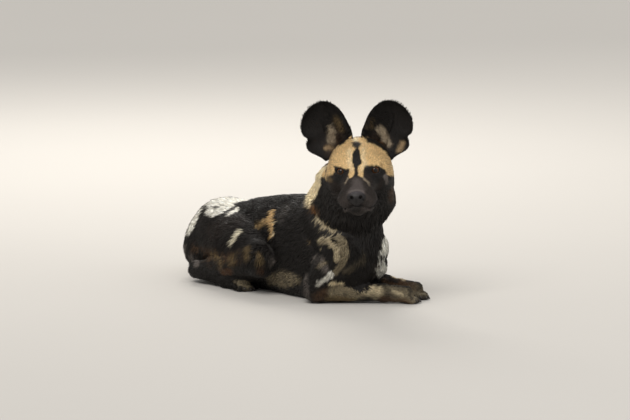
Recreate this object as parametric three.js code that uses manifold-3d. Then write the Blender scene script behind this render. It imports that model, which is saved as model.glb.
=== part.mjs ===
// A young African wild dog that lies on its chest with its head raised.
// Millimetres. +Z is up, the ground is at 0, -Y is the way the body faces, +X is the animal's left.
import * as THREE from 'three';
import { mergeVertices } from 'three/addons/utils/BufferGeometryUtils.js';
import Module from 'manifold-3d';

const wasm = await Module();
wasm.setup();

// Driving sizes of the trunk.
const GAP = 0.3;
const WELDS = [0.02, 0.03, 0.05, 0.08];
const BACK_HEIGHT = 175;
const RUMP_HEIGHT = 143;
const CHEST_HALF_WIDTH = 66;
const RUMP_HALF_WIDTH = 64;

// Driving sizes of the head, in the head's own frame: -Y to the nose, +Z up, 0 between the eyes.
const HEAD_PLACE = [-22.5, -84, 241];
const HEAD_YAW = -42.5;
const HEAD_PITCH = -5;
const HEAD_ROLL = -3.1;
const CROWN_HEIGHT = 56;
const SKULL_HALF_WIDTH = 54;
const CHEEK_HALF_WIDTH = 58;
const NOSE_REACH = 117;
const NOSE_DROP = 42.5;
const NOSE_RADII = [17, 12, 11.5];
const MUZZLE_RADII = [32, 23];
const MUZZLE_PAD = { out: 16, radii: [19, 18, 16] };
const CHIN_DROP = 75;
const EYE_SPACING = 61;
const EYE_RADIUS = 9.5;
const LID_THICKNESS = 1.6;
const EYE_OPENING = [18, 10.5];

// The line of the mouth from the middle of the lips back to one corner, and the groove's radius.
const MOUTH_LINE = [
  [0, -110, -56], [12, -105, -58], [21, -94, -60], [27, -76, -59], [32, -58, -56], [36, -44, -54],
];
const MOUTH_GROOVE_RADIUS = 1.5;

// Driving sizes of the ears.
const EAR_HEIGHT = 82.5;
const EAR_ROOT = 16;
const EAR_HALF_WIDTH = 41;
const EAR_THICKNESS = 3.4;
const EAR_CUP = 24;
const EAR_LOBE = { out: 7.5, height: 12, spread: 13 };
const EAR_NOTCH = { depth: 5, height: 31, spread: 6 };
const EAR_PLACE = { right: [-40, 4, 40.5], left: [35, 4, 37] };
const EAR_TILT = 21;
const EAR_TURN = 10;

// Driving sizes of the feet.
const TOE_COUNT = 4;
const TOE_RADIUS = 6.6;
const TOE_PITCH = 8.4;
const CLAW_LENGTH = 8;
const CLAW_RADIUS = 1.9;

// Where the legs are parted from the trunk, and the radii of the limbs from their top to their end.
const SHOULDER_CUT = { right: -44, left: 38 };
const THIGH_CUT = { right: -44, left: 44 };
const UPPER_ARM_RADII = [20, 26.5, 24, 23];
const FOREARM_RADIUS = [22.5, 14.5];
const THIGH_RADIUS = [46, 29];
const SHANK_RADIUS = [27, 14];
const HIND_FOOT_RADIUS = [14.5, 12.5];
const HAUNCH = { height: 66, radii: [34, 82, 60] };
const ELBOW_REACH = 30;
const TAIL_CLEARANCE = 1.5;

// The mass of the ruff under and behind the jaw, in the head's frame.
const RUFF_CORE = { centre: [2, 28, -56], radii: [60, 42, 42] };

// The ruff's locks: rows as [level up the neck, count, angle each way from the throat in degrees].
const RUFF_ROWS = [[0.84, 9, 134], [0.54, 8, 124], [0.28, 5, 70]];
const RUFF_LOCK = { length: 48, width: 31, thick: 5, sink: 5, lift: 8 };

// The tail's core and locks: rings of locks along it that lie towards the tip.
const TAIL_CORE = { root: 11, middle: 14, tip: 5 };
const TAIL_RINGS = [[0.15, 3], [0.37, 4], [0.6, 3], [0.84, 3]];
const TAIL_LOCK = { length: 76, width: 31, thick: 6, sink: 5, lift: 15 };

// Joint places of each leg: [x, y, z].
const FORELEGS = {
  right: {
    blade: [-34, 18, 148],
    shoulder: [-46, -63, 98],
    crook: [-51, -32, 62],
    elbow: [-55, -2, 27],
    wrist: [36, -75, 18],
    toes: [78, -107, 6.5],
  },
  left: {
    blade: [26, 22, 148],
    shoulder: [41, -35, 92],
    crook: [54, -22, 60],
    elbow: [66, 22, 28],
    wrist: [96, -45, 18],
    toes: [114, -86, 6.5],
  },
};
const HINDLEGS = {
  right: {
    hip: [-34, 284, 90],
    knee: [-80, 124, 64],
    hock: [-82, 302, 24],
    ankle: [-76, 222, 14],
    toes: [-68, 176, 6.5],
  },
  left: {
    hip: [34, 284, 90],
    knee: [80, 118, 64],
    hock: [86, 298, 24],
    ankle: [84, 218, 14],
    toes: [80, 172, 6.5],
  },
};

// Path of the tail's core, from its root above the rump round to the animal's left side.
const TAIL_PATH = [
  [2, 368, 88], [12, 404, 56], [40, 424, 27], [92, 414, 21], [134, 368, 21], [150, 306, 20], [150, 250, 16],
];

const point = ([x, y, z]) => new THREE.Vector3(x, y, z);
const radians = THREE.MathUtils.degToRad;
const mix = THREE.MathUtils.lerp;

// Distance fields: each takes a point and returns how far it is outside the form.

function smoothMin(a, b, reach) {
  const h = Math.max(reach - Math.abs(a - b), 0) / reach;
  return Math.min(a, b) - h * h * reach / 4;
}

function blend(reach, ...fields) {
  return (p) => fields.slice(1).reduce((d, field) => smoothMin(d, field(p), reach), fields[0](p));
}

function ellipsoid(centre, radii) {
  const [rx, ry, rz] = radii;
  const [cx, cy, cz] = centre;
  return (p) => {
    const x = (p.x - cx) / rx;
    const y = (p.y - cy) / ry;
    const z = (p.z - cz) / rz;
    const near = Math.sqrt(x * x + y * y + z * z);
    const slope = Math.sqrt((x / rx) ** 2 + (y / ry) ** 2 + (z / rz) ** 2);
    return slope > 0 ? near * (near - 1) / slope : -Math.min(rx, ry, rz);
  };
}

// A limb form: a ball of radius r1 at a, drawn out to a ball of radius r2 at b.
function taper(start, end, r1, r2) {
  const a = point(start);
  const axis = point(end).sub(a);
  const length2 = axis.lengthSq();
  const dr = r1 - r2;
  const side2 = length2 - dr * dr;
  const away = new THREE.Vector3();
  return (p) => {
    away.copy(p).sub(a);
    const y = away.dot(axis);
    const z = y - length2;
    const x2 = away.multiplyScalar(length2).addScaledVector(axis, -y).lengthSq();
    const y2 = y * y * length2;
    const z2 = z * z * length2;
    const k = Math.sign(dr) * dr * dr * x2;
    if (Math.sign(z) * side2 * z2 > k) return Math.sqrt(x2 + z2) / length2 - r2;
    if (Math.sign(y) * side2 * y2 < k) return Math.sqrt(x2 + y2) / length2 - r1;
    return (Math.sqrt(x2 * side2 / length2) + y * dr) / length2 - r1;
  };
}

function inFrame(frame, field) {
  const inverse = frame.clone().invert();
  const local = new THREE.Vector3();
  return (p) => field(local.copy(p).applyMatrix4(inverse));
}

// A frame at a place whose +Y runs along a direction and whose +Z is as near up as it can be.
function frameAlong(place, direction, up = new THREE.Vector3(0, 0, 1)) {
  const y = direction.clone().normalize();
  const x = y.clone().cross(up).normalize();
  const z = x.clone().cross(y);
  return new THREE.Matrix4().makeBasis(x, y, z).setPosition(place);
}

// The closed surface of a field inside a box of a frame. Where the grid makes two sheets share an
// edge, it is shifted a little and tried again, and the grid with the fewest such edges is kept.
function surfaceOf(field, frame, low, high, cell) {
  let best = null;
  for (let shift = 0; shift < 0.9 && !(best && best.shared === 0); shift += 0.15) {
    const start = low.map((value, axis) => value - shift * cell[axis]);
    const { vertices, triangles } = sheetOf(field, frame, start, high, cell);
    const shared = sharedEdges(triangles);
    if (!best || shared < best.shared) best = { vertices, triangles, shared };
  }
  return solidFrom(new Float32Array(best.vertices), new Uint32Array(best.triangles));
}

// How many edges don't have exactly two faces.
function sharedEdges(triangles) {
  const faces = new Map();
  for (let n = 0; n < triangles.length; n += 3) {
    for (let side = 0; side < 3; side += 1) {
      const ends = [triangles[n + side], triangles[n + (side + 1) % 3]];
      const edge = Math.min(...ends) * triangles.length + Math.max(...ends);
      faces.set(edge, (faces.get(edge) || 0) + 1);
    }
  }
  return [...faces.values()].filter((count) => count !== 2).length;
}

// One vertex in each cell that the surface crosses, moved onto the surface, and one face across
// each grid edge that it crosses.
function sheetOf(field, frame, low, high, cell) {
  const count = low.map((value, axis) => Math.ceil((high[axis] - value) / cell[axis]) + 1);
  const stride = [1, count[0], count[0] * count[1]];
  const values = new Float64Array(count[0] * count[1] * count[2]);
  const place = (i, j, k) => new THREE.Vector3(
    low[0] + i * cell[0], low[1] + j * cell[1], low[2] + k * cell[2]).applyMatrix4(frame);
  const onRim = (index) => index.some((n, axis) => n === 0 || n === count[axis] - 1);
  forEachIndex(count, (i, j, k, at) => {
    const value = field(place(i, j, k));
    values[at] = onRim([i, j, k]) ? Math.max(value, 0.5) : value;
  });
  const vertices = [];
  const vertexOf = new Map();
  forEachIndex(count.map((n) => n - 1), (i, j, k) => {
    const at = i + j * stride[1] + k * stride[2];
    const crossing = crossingOf(values, at, stride);
    if (!crossing) return;
    const p = place(i + crossing.x, j + crossing.y, k + crossing.z);
    const inner = [i, j, k].every((n, axis) => n > 0 && n < count[axis] - 2);
    if (inner) settle(p, field, Math.min(...cell) * 0.6);
    vertexOf.set(at, vertices.length / 3);
    vertices.push(p.x, p.y, p.z);
  });
  const triangles = [];
  forEachIndex(count, (i, j, k, at) => {
    for (let axis = 0; axis < 3; axis += 1) {
      const b = stride[(axis + 1) % 3];
      const c = stride[(axis + 2) % 3];
      const index = [i, j, k];
      const atBorder = index[(axis + 1) % 3] < 1 || index[(axis + 2) % 3] < 1;
      if (atBorder || index[axis] >= count[axis] - 1) continue;
      const here = values[at] < 0;
      if (here === (values[at + stride[axis]] < 0)) continue;
      const ring = [at - b - c, at - c, at, at - b].map((cellAt) => vertexOf.get(cellAt));
      pushQuad(triangles, vertices, here ? ring : ring.reverse());
    }
  });
  return { vertices, triangles };
}

function forEachIndex(count, visit) {
  for (let k = 0; k < count[2]; k += 1) {
    for (let j = 0; j < count[1]; j += 1) {
      for (let i = 0; i < count[0]; i += 1) visit(i, j, k, i + count[0] * (j + count[1] * k));
    }
  }
}

// The mean of the places where the surface crosses a cell's edges, or null where it crosses none.
function crossingOf(values, at, stride) {
  const corner = (x, y, z) => values[at + x + y * stride[1] + z * stride[2]];
  const sum = new THREE.Vector3();
  let crossings = 0;
  for (let axis = 0; axis < 3; axis += 1) {
    for (const u of [0, 1]) {
      for (const v of [0, 1]) {
        const from = [0, 0, 0];
        from[(axis + 1) % 3] = u;
        from[(axis + 2) % 3] = v;
        const to = [...from];
        to[axis] = 1;
        const a = corner(...from);
        const b = corner(...to);
        if ((a < 0) === (b < 0)) continue;
        from[axis] = a / (a - b);
        sum.add(point(from));
        crossings += 1;
      }
    }
  }
  return crossings > 0 ? sum.divideScalar(crossings) : null;
}

function slopeAt(field, p, step = 0.5) {
  const along = (axis) => {
    const shift = new THREE.Vector3().setComponent(axis, step);
    return field(p.clone().add(shift)) - field(p.clone().sub(shift));
  };
  return new THREE.Vector3(along(0), along(1), along(2)).divideScalar(2 * step);
}

// Moves a point onto the surface of a field, no further than a limit.
function settle(p, field, limit) {
  const start = p.clone();
  for (let round = 0; round < 3; round += 1) {
    const slope = slopeAt(field, p);
    p.addScaledVector(slope, -field(p) / Math.max(slope.lengthSq(), 0.2));
  }
  const moved = p.distanceTo(start);
  return moved > limit ? p.copy(start.lerp(p, limit / moved)) : p;
}

function pushQuad(triangles, vertices, ring) {
  const corner = (n) => new THREE.Vector3().fromArray(vertices, 3 * ring[n]);
  const [a, b, c, d] = ring;
  if (corner(0).distanceTo(corner(2)) <= corner(1).distanceTo(corner(3))) triangles.push(a, b, c, a, c, d);
  else triangles.push(a, b, d, b, c, d);
}

// Solids: joined and cut as closed meshes.

function solidFrom(vertProperties, triVerts) {
  const mesh = new wasm.Mesh({ numProp: 3, vertProperties, triVerts });
  return new wasm.Manifold(mesh);
}

function solidOf(geometry) {
  const plain = geometry.clone();
  plain.deleteAttribute('normal');
  plain.deleteAttribute('uv');
  const merged = mergeVertices(plain, 1e-3);
  return solidFrom(new Float32Array(merged.attributes.position.array), new Uint32Array(merged.index.array));
}

function geometryOf(solid) {
  const { vertProperties, triVerts } = solid.getMesh();
  const geometry = new THREE.BufferGeometry();
  geometry.setAttribute('position', new THREE.BufferAttribute(new Float32Array(vertProperties), 3));
  geometry.setIndex(new THREE.BufferAttribute(new Uint32Array(triVerts), 1));
  return geometry;
}

// The biggest closed surface of a solid, with vertices that lie closer than a hair made one.
function largest(solid) {
  const biggest = (pieces) => pieces.reduce((most, piece) => (piece.volume() > most.volume() ? piece : most));
  const geometry = geometryOf(biggest(solid.decompose()));
  let best = null;
  for (const reach of WELDS) {
    const merged = mergeVertices(geometry, reach);
    const index = merged.index.array;
    const kept = [];
    for (let n = 0; n < index.length; n += 3) {
      const corners = [index[n], index[n + 1], index[n + 2]];
      if (new Set(corners).size === 3) kept.push(...corners);
    }
    const shared = sharedEdges(kept);
    const places = merged.attributes.position.array;
    if (best === null || shared < best.shared) best = { shared, kept, places };
    if (shared === 0) break;
  }
  return biggest(solidFrom(new Float32Array(best.places), new Uint32Array(best.kept)).decompose());
}

const cutAway = (solid, cutters) => cutters.reduce((rest, cutter) => rest.subtract(cutter), solid);

// A flat lock of hair: a blade that leaves its root, follows the lie of the coat, lifts off it
// towards its tip and narrows to a point. Its root is sunk into what it grows from.
function lockSolid({ root, lie, out, length, width, thick, sink, lift, bend }) {
  const side = lie.clone().cross(out).normalize();
  const stations = [[0, 0.8], [0.28, 1], [0.55, 0.85], [0.8, 0.48]];
  const vertices = [];
  for (const [t, share] of stations) {
    const centre = root.clone()
      .addScaledVector(lie, length * t)
      .addScaledVector(out, mix(-sink, lift, t) - sink * 0.2 * t)
      .addScaledVector(side, bend * t * t);
    const half = width / 2 * share;
    const depth = thick / 2 * (1.25 - 0.7 * t);
    for (const [a, b] of [[1, 0], [0, 1], [-1, 0], [0, -1]]) {
      const corner = centre.clone().addScaledVector(side, a * half).addScaledVector(out, b * depth);
      vertices.push(...corner.toArray());
    }
  }
  const tip = root.clone()
    .addScaledVector(lie, length)
    .addScaledVector(out, lift)
    .addScaledVector(side, bend);
  const tipIndex = 4 * stations.length;
  vertices.push(...tip.toArray());
  const triangles = [0, 1, 2, 0, 2, 3];
  for (let ring = 0; ring < stations.length; ring += 1) {
    for (let n = 0; n < 4; n += 1) {
      const [a, b] = [4 * ring + n, 4 * ring + (n + 1) % 4];
      if (ring === stations.length - 1) triangles.push(a, tipIndex, b);
      else triangles.push(a, a + 4, b + 4, a, b + 4, b);
    }
  }
  const solid = solidFrom(new Float32Array(vertices), new Uint32Array(triangles));
  return solid;
}

const joinAll = (solid, pieces) => pieces.reduce((all, piece) => all.add(piece), solid);

// Seeded draws between two values.
function drawsFrom(seed) {
  let state = seed;
  return (low, high) => {
    state = (state * 1664525 + 1013904223) % 4294967296;
    return low + (high - low) * state / 4294967296;
  };
}

// The half of space on the side of a plane that its normal points to.
function halfSpace(place, normal, size = 1400) {
  const frame = frameAlong(place, normal, Math.abs(normal.clone().normalize().z) > 0.9
    ? new THREE.Vector3(0, 1, 0) : new THREE.Vector3(0, 0, 1));
  const box = new THREE.BoxGeometry(size, size, size);
  box.translate(0, size / 2, 0);
  box.applyMatrix4(frame);
  return solidOf(box);
}

const aboveGround = halfSpace(new THREE.Vector3(0, 0, 0), new THREE.Vector3(0, 0, 1));

// The head's own frame.
const headFrame = new THREE.Matrix4().makeRotationFromQuaternion(
  new THREE.Quaternion().setFromAxisAngle(new THREE.Vector3(0, 0, 1), radians(HEAD_YAW))
    .multiply(new THREE.Quaternion().setFromAxisAngle(new THREE.Vector3(1, 0, 0), radians(HEAD_PITCH)))
    .multiply(new THREE.Quaternion().setFromAxisAngle(new THREE.Vector3(0, 1, 0), radians(HEAD_ROLL))))
  .setPosition(...HEAD_PLACE);

// Trunk: rib cage, chest front, loin, rump and the belly that lies on the ground.
const trunk = blend(
  30,
  ellipsoid([-6, 80, BACK_HEIGHT / 2 + 2], [CHEST_HALF_WIDTH, 138, BACK_HEIGHT / 2]),
  ellipsoid([4, -24, 84], [46, 56, 66]),
  ellipsoid([-4, 184, 83], [56, 114, 77]),
  ellipsoid([-5, 308, RUMP_HEIGHT / 2 + 2], [RUMP_HALF_WIDTH, 84, RUMP_HEIGHT / 2]),
  ellipsoid([-5, 336, 50], [62, 62, 50]),
  taper([-4, 10, 46], [-4, 290, 44], 56, 50),
);

const neck = blend(
  24,
  taper([4, -22, 108], [-14, -56, 206], 56, 54),
  taper([-6, 44, 122], [-11, -19, 203], 50, 44),
  inFrame(headFrame, ellipsoid(RUFF_CORE.centre, RUFF_CORE.radii)),
);

// Forelegs: shoulder blade and upper arm, forearm, paw.
function foreleg({ blade, shoulder, crook, elbow, wrist, toes }) {
  const [bladeRadius, shoulderRadius, crookRadius, elbowRadius] = UPPER_ARM_RADII;
  return {
    upper: blend(
      14,
      taper(blade, shoulder, bladeRadius, shoulderRadius),
      taper(shoulder, crook, shoulderRadius, crookRadius),
      taper(crook, elbow, crookRadius, elbowRadius),
    ),
    lower: taper(elbow, wrist, ...FOREARM_RADIUS),
    paw: pawField(wrist, toes),
  };
}

// Hind legs: thigh, shank from knee to hock, long foot.
function hindleg({ hip, knee, hock, ankle, toes }) {
  const middle = point(hip).lerp(point(knee), 0.45);
  const haunch = ellipsoid([middle.x + Math.sign(hip[0]) * 4, middle.y + 6, HAUNCH.height], HAUNCH.radii);
  return {
    upper: blend(22, taper(hip, knee, ...THIGH_RADIUS), haunch),
    lower: taper(knee, hock, ...SHANK_RADIUS),
    paw: blend(10, taper(hock, ankle, ...HIND_FOOT_RADIUS), pawField(ankle, toes)),
  };
}

function pawFrame(wrist, toes) {
  return frameAlong(point(toes), point(toes).sub(point(wrist)));
}

// A paw: the pad mass behind the toes, and the toes side by side, the middle ones longer.
function pawField(wrist, toes) {
  const frame = pawFrame(wrist, toes);
  const reach = point(toes).distanceTo(point(wrist));
  const drop = wrist[2] - toes[2];
  const pad = taper([0, -reach, 0], [0, -16, 3 + drop * 0.25], 15, 14.5);
  const toeForms = toeLines().map(([root, tip]) => taper(root, tip, TOE_RADIUS + 0.8, TOE_RADIUS));
  return inFrame(frame, blend(5, pad, ...toeForms));
}

function toeLines() {
  return Array.from({ length: TOE_COUNT }, (_, n) => {
    const side = n - (TOE_COUNT - 1) / 2;
    const middle = Math.abs(side) < 1 ? 1 : 0;
    return [[side * TOE_PITCH * 0.8, -22, 2], [side * TOE_PITCH, middle * 7 - 3, -1.5]];
  });
}

function claws(frame) {
  return toeLines().map(([, tip]) => {
    const claw = new THREE.ConeGeometry(CLAW_RADIUS, CLAW_LENGTH, 6);
    claw.rotateX(radians(-14));
    claw.translate(tip[0], tip[1] + TOE_RADIUS + CLAW_LENGTH * 0.22, tip[2] - 1.2);
    claw.applyMatrix4(frame);
    return solidOf(claw);
  });
}

const legs = {};
for (const side of ['right', 'left']) {
  legs[side] = { fore: foreleg(FORELEGS[side]), hind: hindleg(HINDLEGS[side]) };
}

// Flesh that the legs and neck share with the trunk, with the fillets between them.
const allUpper = ['right', 'left'].flatMap((side) => [legs[side].fore.upper, legs[side].hind.upper]);
const body = blend(16, blend(26, trunk, neck), ...allUpper);

// Head.
const bothSides = (make) => [-1, 1].map(make);

const headForm = blend(
  14,
  ellipsoid([0, 8, 4], [SKULL_HALF_WIDTH, 56, CROWN_HEIGHT - 4]),
  ellipsoid([0, -26, 10], [38, 28, 32]),
  ...bothSides((side) => ellipsoid([side * (CHEEK_HALF_WIDTH - 20), -12, -14], [20, 34, 24])),
  ...bothSides((side) => ellipsoid([side * 30, 8, -36], [25, 34, 30])),
  taper([0, -46, -20], [0, -NOSE_REACH + 28, -NOSE_DROP + 2], ...MUZZLE_RADII),
  ...bothSides((side) => ellipsoid([side * MUZZLE_PAD.out, -NOSE_REACH + 27, -45], MUZZLE_PAD.radii)),
  taper([0, -26, -52], [0, -84, -CHIN_DROP + 13.5], 24, 13.5),
);

const headInPlace = inFrame(headFrame, headForm);
const headFlesh = blend(18, headInPlace, neck);
const toHead = (p) => point(p).applyMatrix4(headFrame);
const headTurn = new THREE.Matrix4().extractRotation(headFrame);
const nape = toHead([0, 66, 4]);
const napeNormal = new THREE.Vector3(0, 0.741, -0.671).applyMatrix4(headTurn);
const withers = new THREE.Vector3(0, 40, 168);
const neckNormal = new THREE.Vector3(0, -0.6, 0.8);

// A region is a list of planes [place, normal]; it lies on the side that every normal points to.
function regionOf(planes, grow) {
  return planes
    .map(([place, normal]) => {
      const n = normal.clone().normalize();
      return halfSpace(place.clone().addScaledVector(n, -grow), n);
    })
    .reduce((all, half) => all.intersect(half));
}

// The grid of a limb between two joints.
function limbGrid(from, to, halfWidth, cell) {
  const a = point(from);
  const axis = point(to).sub(a);
  const low = [-halfWidth, -halfWidth, -halfWidth];
  const high = [halfWidth, axis.length() + halfWidth, halfWidth];
  return [frameAlong(a, axis), low, high, cell];
}

const claimed = {};
const legRegions = [];

function claim(name, flesh, grid, planes) {
  const mine = regionOf(planes, -GAP / 2);
  claimed[name] = { solid: largest(surfaceOf(flesh, ...grid).intersect(mine).intersect(aboveGround)) };
  legRegions.push(regionOf(planes, GAP / 2));
}

const up = new THREE.Vector3(0, 0, 1);
const opposite = ([place, normal]) => [place, normal.clone().negate()];

for (const side of ['right', 'left']) {
  const fore = FORELEGS[side];
  const hind = HINDLEGS[side];
  const { lower: forearm, paw: forepaw } = legs[side].fore;
  const { lower: shank, paw: foot } = legs[side].hind;
  const foreFlesh = blend(9, body, forearm, forepaw);
  const hindFlesh = blend(9, body, shank, foot);
  const fingertips = point(fore.wrist).lerp(point(fore.toes), 1.15).toArray();
  const tiptoes = point(hind.ankle).lerp(point(hind.toes), 1.15).toArray();

  const elbow = point(fore.elbow);
  const wrist = point(fore.wrist);
  const along = wrist.clone().sub(elbow).normalize();
  const outward = along.clone().cross(up).normalize().multiplyScalar(side === 'right' ? 1 : -1);
  const inner = [elbow.clone().addScaledVector(outward, -FOREARM_RADIUS[0]), outward];
  const under = [elbow.clone().addScaledVector(up, FOREARM_RADIUS[0] - 2), along.clone().cross(outward)];
  if (under[1].z > 0) under[1].negate();
  const behind = [elbow.clone().addScaledVector(along, -ELBOW_REACH), along];
  const wristCut = [wrist, along];
  const pawGrid = limbGrid(fore.wrist, fingertips, 30, [7, 7, 7]);
  claim(`forepaw_${side}`, foreFlesh, pawGrid, [inner, under, wristCut]);
  claim(`forearm_${side}`, foreFlesh, limbGrid(fore.elbow, fore.wrist, 44, [9.5, 14, 9.5]),
    [inner, under, behind, opposite(wristCut)]);
  const outer = new THREE.Vector3(side === 'right' ? -1 : 1, 0, 0);
  const armInner = [new THREE.Vector3(SHOULDER_CUT[side], 0, 60), outer.clone().addScaledVector(up, 0.25)];
  const rearPlace = new THREE.Vector3(0, fore.elbow[1] + ELBOW_REACH, fore.elbow[2]);
  const armRear = [rearPlace, new THREE.Vector3(0, -1, 0.25)];
  const armGrid = [new THREE.Matrix4(), [-110, -110, -10], [110, 120, 200], [13, 14, 14]];
  claim(`upper_arm_${side}`, foreFlesh, armGrid,
    [opposite(under), armInner, armRear, [withers, neckNormal.clone().negate()]]);

  const legInner = [new THREE.Vector3(THIGH_CUT[side], 0, 60), outer.clone().addScaledVector(up, 0.2)];
  const knee = point(hind.knee);
  const shankTop = [knee.clone().add(new THREE.Vector3(0, 0, -2)), new THREE.Vector3(0, -0.05, -1)];
  const footTop = [point(hind.hock).add(new THREE.Vector3(0, 0, 4)), new THREE.Vector3(0, -0.06, -1)];
  const flank = [new THREE.Vector3(0, knee.y - 42, 0), new THREE.Vector3(0, 1, 0)];
  const thighTop = [knee.clone().add(new THREE.Vector3(0, -30, 30)), new THREE.Vector3(0, 0.237, -0.971)];
  const footGrid = limbGrid(hind.hock, tiptoes, 30, [9, 11, 9]);
  claim(`hind_foot_${side}`, hindFlesh, footGrid, [legInner, footTop, flank]);
  claim(`shank_${side}`, hindFlesh, limbGrid(hind.knee, hind.hock, 46, [11, 15, 11]),
    [legInner, opposite(footTop), shankTop, flank]);
  claim(`thigh_${side}`, hindFlesh, [new THREE.Matrix4(), [-150, 60, -10], [150, 370, 190], [13, 18, 13]],
    [legInner, opposite(shankTop), flank, thighTop]);
}

// The ear in its own frame: +Z along the ear, +X to its outer edge, -Y out of the cup.
function earHalfWidth(h) {
  const low = mix(26, EAR_HALF_WIDTH, THREE.MathUtils.smoothstep(h, -EAR_ROOT - 8, 22));
  const top = Math.sqrt(Math.max(0, 1 - (Math.max(h - 38, 0) / (EAR_HEIGHT - 38)) ** 2));
  return low * top;
}

// How far the ear's outer edge swells into its low lobe and dips at the notch above it.
function outerEdge(h) {
  const bump = ({ height, spread }) => Math.exp(-(((h - height) / spread) ** 2));
  return EAR_LOBE.out * bump(EAR_LOBE) - EAR_NOTCH.depth * bump(EAR_NOTCH);
}

function earGeometry(side, grow = 0) {
  const rows = 11;
  const columns = 8;
  const bend = 1.3;
  const vertices = [];
  const spot = (layer, j, i) => (layer * (rows + 1) + j) * (columns + 1) + i;
  for (const layer of [0, 1]) {
    for (let j = 0; j <= rows; j += 1) {
      const t = j / rows;
      const h = mix(-EAR_ROOT, EAR_HEIGHT - 0.6, Math.sin(t * Math.PI / 2) * 0.75 + t * 0.25);
      const half = Math.max(earHalfWidth(h), 4) + grow;
      const deep = EAR_CUP * half / EAR_HALF_WIDTH * (1 - 0.3 * t);
      for (let i = 0; i <= columns; i += 1) {
        const a = (i / columns * 2 - 1) * bend;
        const edge = Math.abs(a) / bend;
        const thick = (EAR_THICKNESS + 2 * grow) * (1 - 0.35 * edge * edge);
        const outer = outerEdge(h) * THREE.MathUtils.smoothstep(a / bend, 0.2, 1);
        const x = half * Math.sin(a) / Math.sin(bend) + 5 * Math.sin(t * Math.PI) + outer;
        const y = deep * (Math.cos(a) - Math.cos(bend)) / (1 - Math.cos(bend)) + layer * thick - grow;
        vertices.push(side * x, y, h);
      }
    }
  }
  const triangles = [];
  const quad = (a, b, c, d) => {
    if (side > 0) triangles.push(a, b, c, a, c, d);
    else triangles.push(a, c, b, a, d, c);
  };
  for (let j = 0; j < rows; j += 1) {
    for (let i = 0; i < columns; i += 1) {
      quad(spot(0, j, i), spot(0, j, i + 1), spot(0, j + 1, i + 1), spot(0, j + 1, i));
      quad(spot(1, j, i), spot(1, j + 1, i), spot(1, j + 1, i + 1), spot(1, j, i + 1));
    }
    quad(spot(0, j, 0), spot(0, j + 1, 0), spot(1, j + 1, 0), spot(1, j, 0));
    quad(spot(0, j, columns), spot(1, j, columns), spot(1, j + 1, columns), spot(0, j + 1, columns));
  }
  for (let i = 0; i < columns; i += 1) {
    quad(spot(0, 0, i), spot(1, 0, i), spot(1, 0, i + 1), spot(0, 0, i + 1));
    quad(spot(0, rows, i), spot(0, rows, i + 1), spot(1, rows, i + 1), spot(1, rows, i));
  }
  const geometry = new THREE.BufferGeometry();
  geometry.setAttribute('position', new THREE.BufferAttribute(new Float32Array(vertices), 3));
  geometry.setIndex(triangles);
  const lean = new THREE.Matrix4().makeRotationY(radians(side * EAR_TILT))
    .multiply(new THREE.Matrix4().makeRotationZ(radians(side * EAR_TURN)));
  geometry.applyMatrix4(lean.setPosition(...EAR_PLACE[side > 0 ? 'left' : 'right']));
  geometry.applyMatrix4(headFrame);
  return geometry;
}

// Eyes, the sockets they sit in and the lids round them.
function eyeParts(side) {
  const gaze = new THREE.Vector3(side * 0.33, -0.94, 0.02).normalize();
  const surface = new THREE.Vector3(side * EYE_SPACING / 2, -80, 0);
  while (headForm(surface) > 0) surface.y += 0.5;
  const centre = surface.addScaledVector(gaze, 1.2 - EYE_RADIUS);
  const ball = (radius) => {
    const sphere = new THREE.SphereGeometry(radius, 12, 9);
    sphere.rotateX(Math.PI / 2);
    sphere.applyMatrix4(frameAlong(centre, gaze));
    return sphere.applyMatrix4(headFrame);
  };
  const [width, height] = EYE_OPENING;
  const arc = (width * width / 4 + height * height / 4) / height;
  const span = Math.asin(width / 2 / arc);
  const outline = new THREE.Shape();
  outline.absarc(0, height / 2 - arc, arc, Math.PI / 2 - span, Math.PI / 2 + span, false);
  outline.absarc(0, arc - height / 2, arc, 1.5 * Math.PI - span, 1.5 * Math.PI + span, false);
  const opening = new THREE.ExtrudeGeometry(outline, { depth: 40, bevelEnabled: false, curveSegments: 6 });
  opening.rotateX(Math.PI / 2);
  opening.rotateZ(Math.PI);
  const slant = new THREE.Matrix4().makeRotationY(radians(side * 12));
  opening.applyMatrix4(frameAlong(centre, gaze).multiply(slant));
  opening.applyMatrix4(headFrame);
  return { eye: solidOf(ball(EYE_RADIUS)), socket: solidOf(ball(EYE_RADIUS + GAP)),
    lids: solidOf(ball(EYE_RADIUS + GAP + LID_THICKNESS)), opening: solidOf(opening) };
}

// Nose leather with its two nostrils.
const noseForm = blend(
  5,
  ellipsoid([0, -NOSE_REACH + 11, -NOSE_DROP], NOSE_RADII),
  ellipsoid([0, -NOSE_REACH + 11, -NOSE_DROP - 7], [6, 9, 8]),
);
const noseInPlace = inFrame(headFrame, noseForm);
const noseLow = [-22, -NOSE_REACH - 8, -NOSE_DROP - 22];
const noseHigh = [22, -NOSE_REACH + 30, -NOSE_DROP + 18];
const noseGrid = [headFrame, noseLow, noseHigh, [5, 5, 5]];

// A nostril: a round hole with a slit that runs out and down to the wing's edge.
function nostril(side) {
  const place = (x, y, z) => [side * x, y - NOSE_REACH, z - NOSE_DROP];
  const form = blend(
    3,
    taper(place(7.6, -3, 0), place(8.1, 7, 0), 2.8, 2),
    taper(place(9, -2, -2), place(14.5, 4, -5), 1.5, 1.2),
  );
  const low = [-24, -NOSE_REACH - 12, -NOSE_DROP - 14];
  const high = [24, -NOSE_REACH + 16, -NOSE_DROP + 10];
  return surfaceOf(inFrame(headFrame, form), headFrame, low, high, [2.8, 2.8, 2.8]);
}

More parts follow.
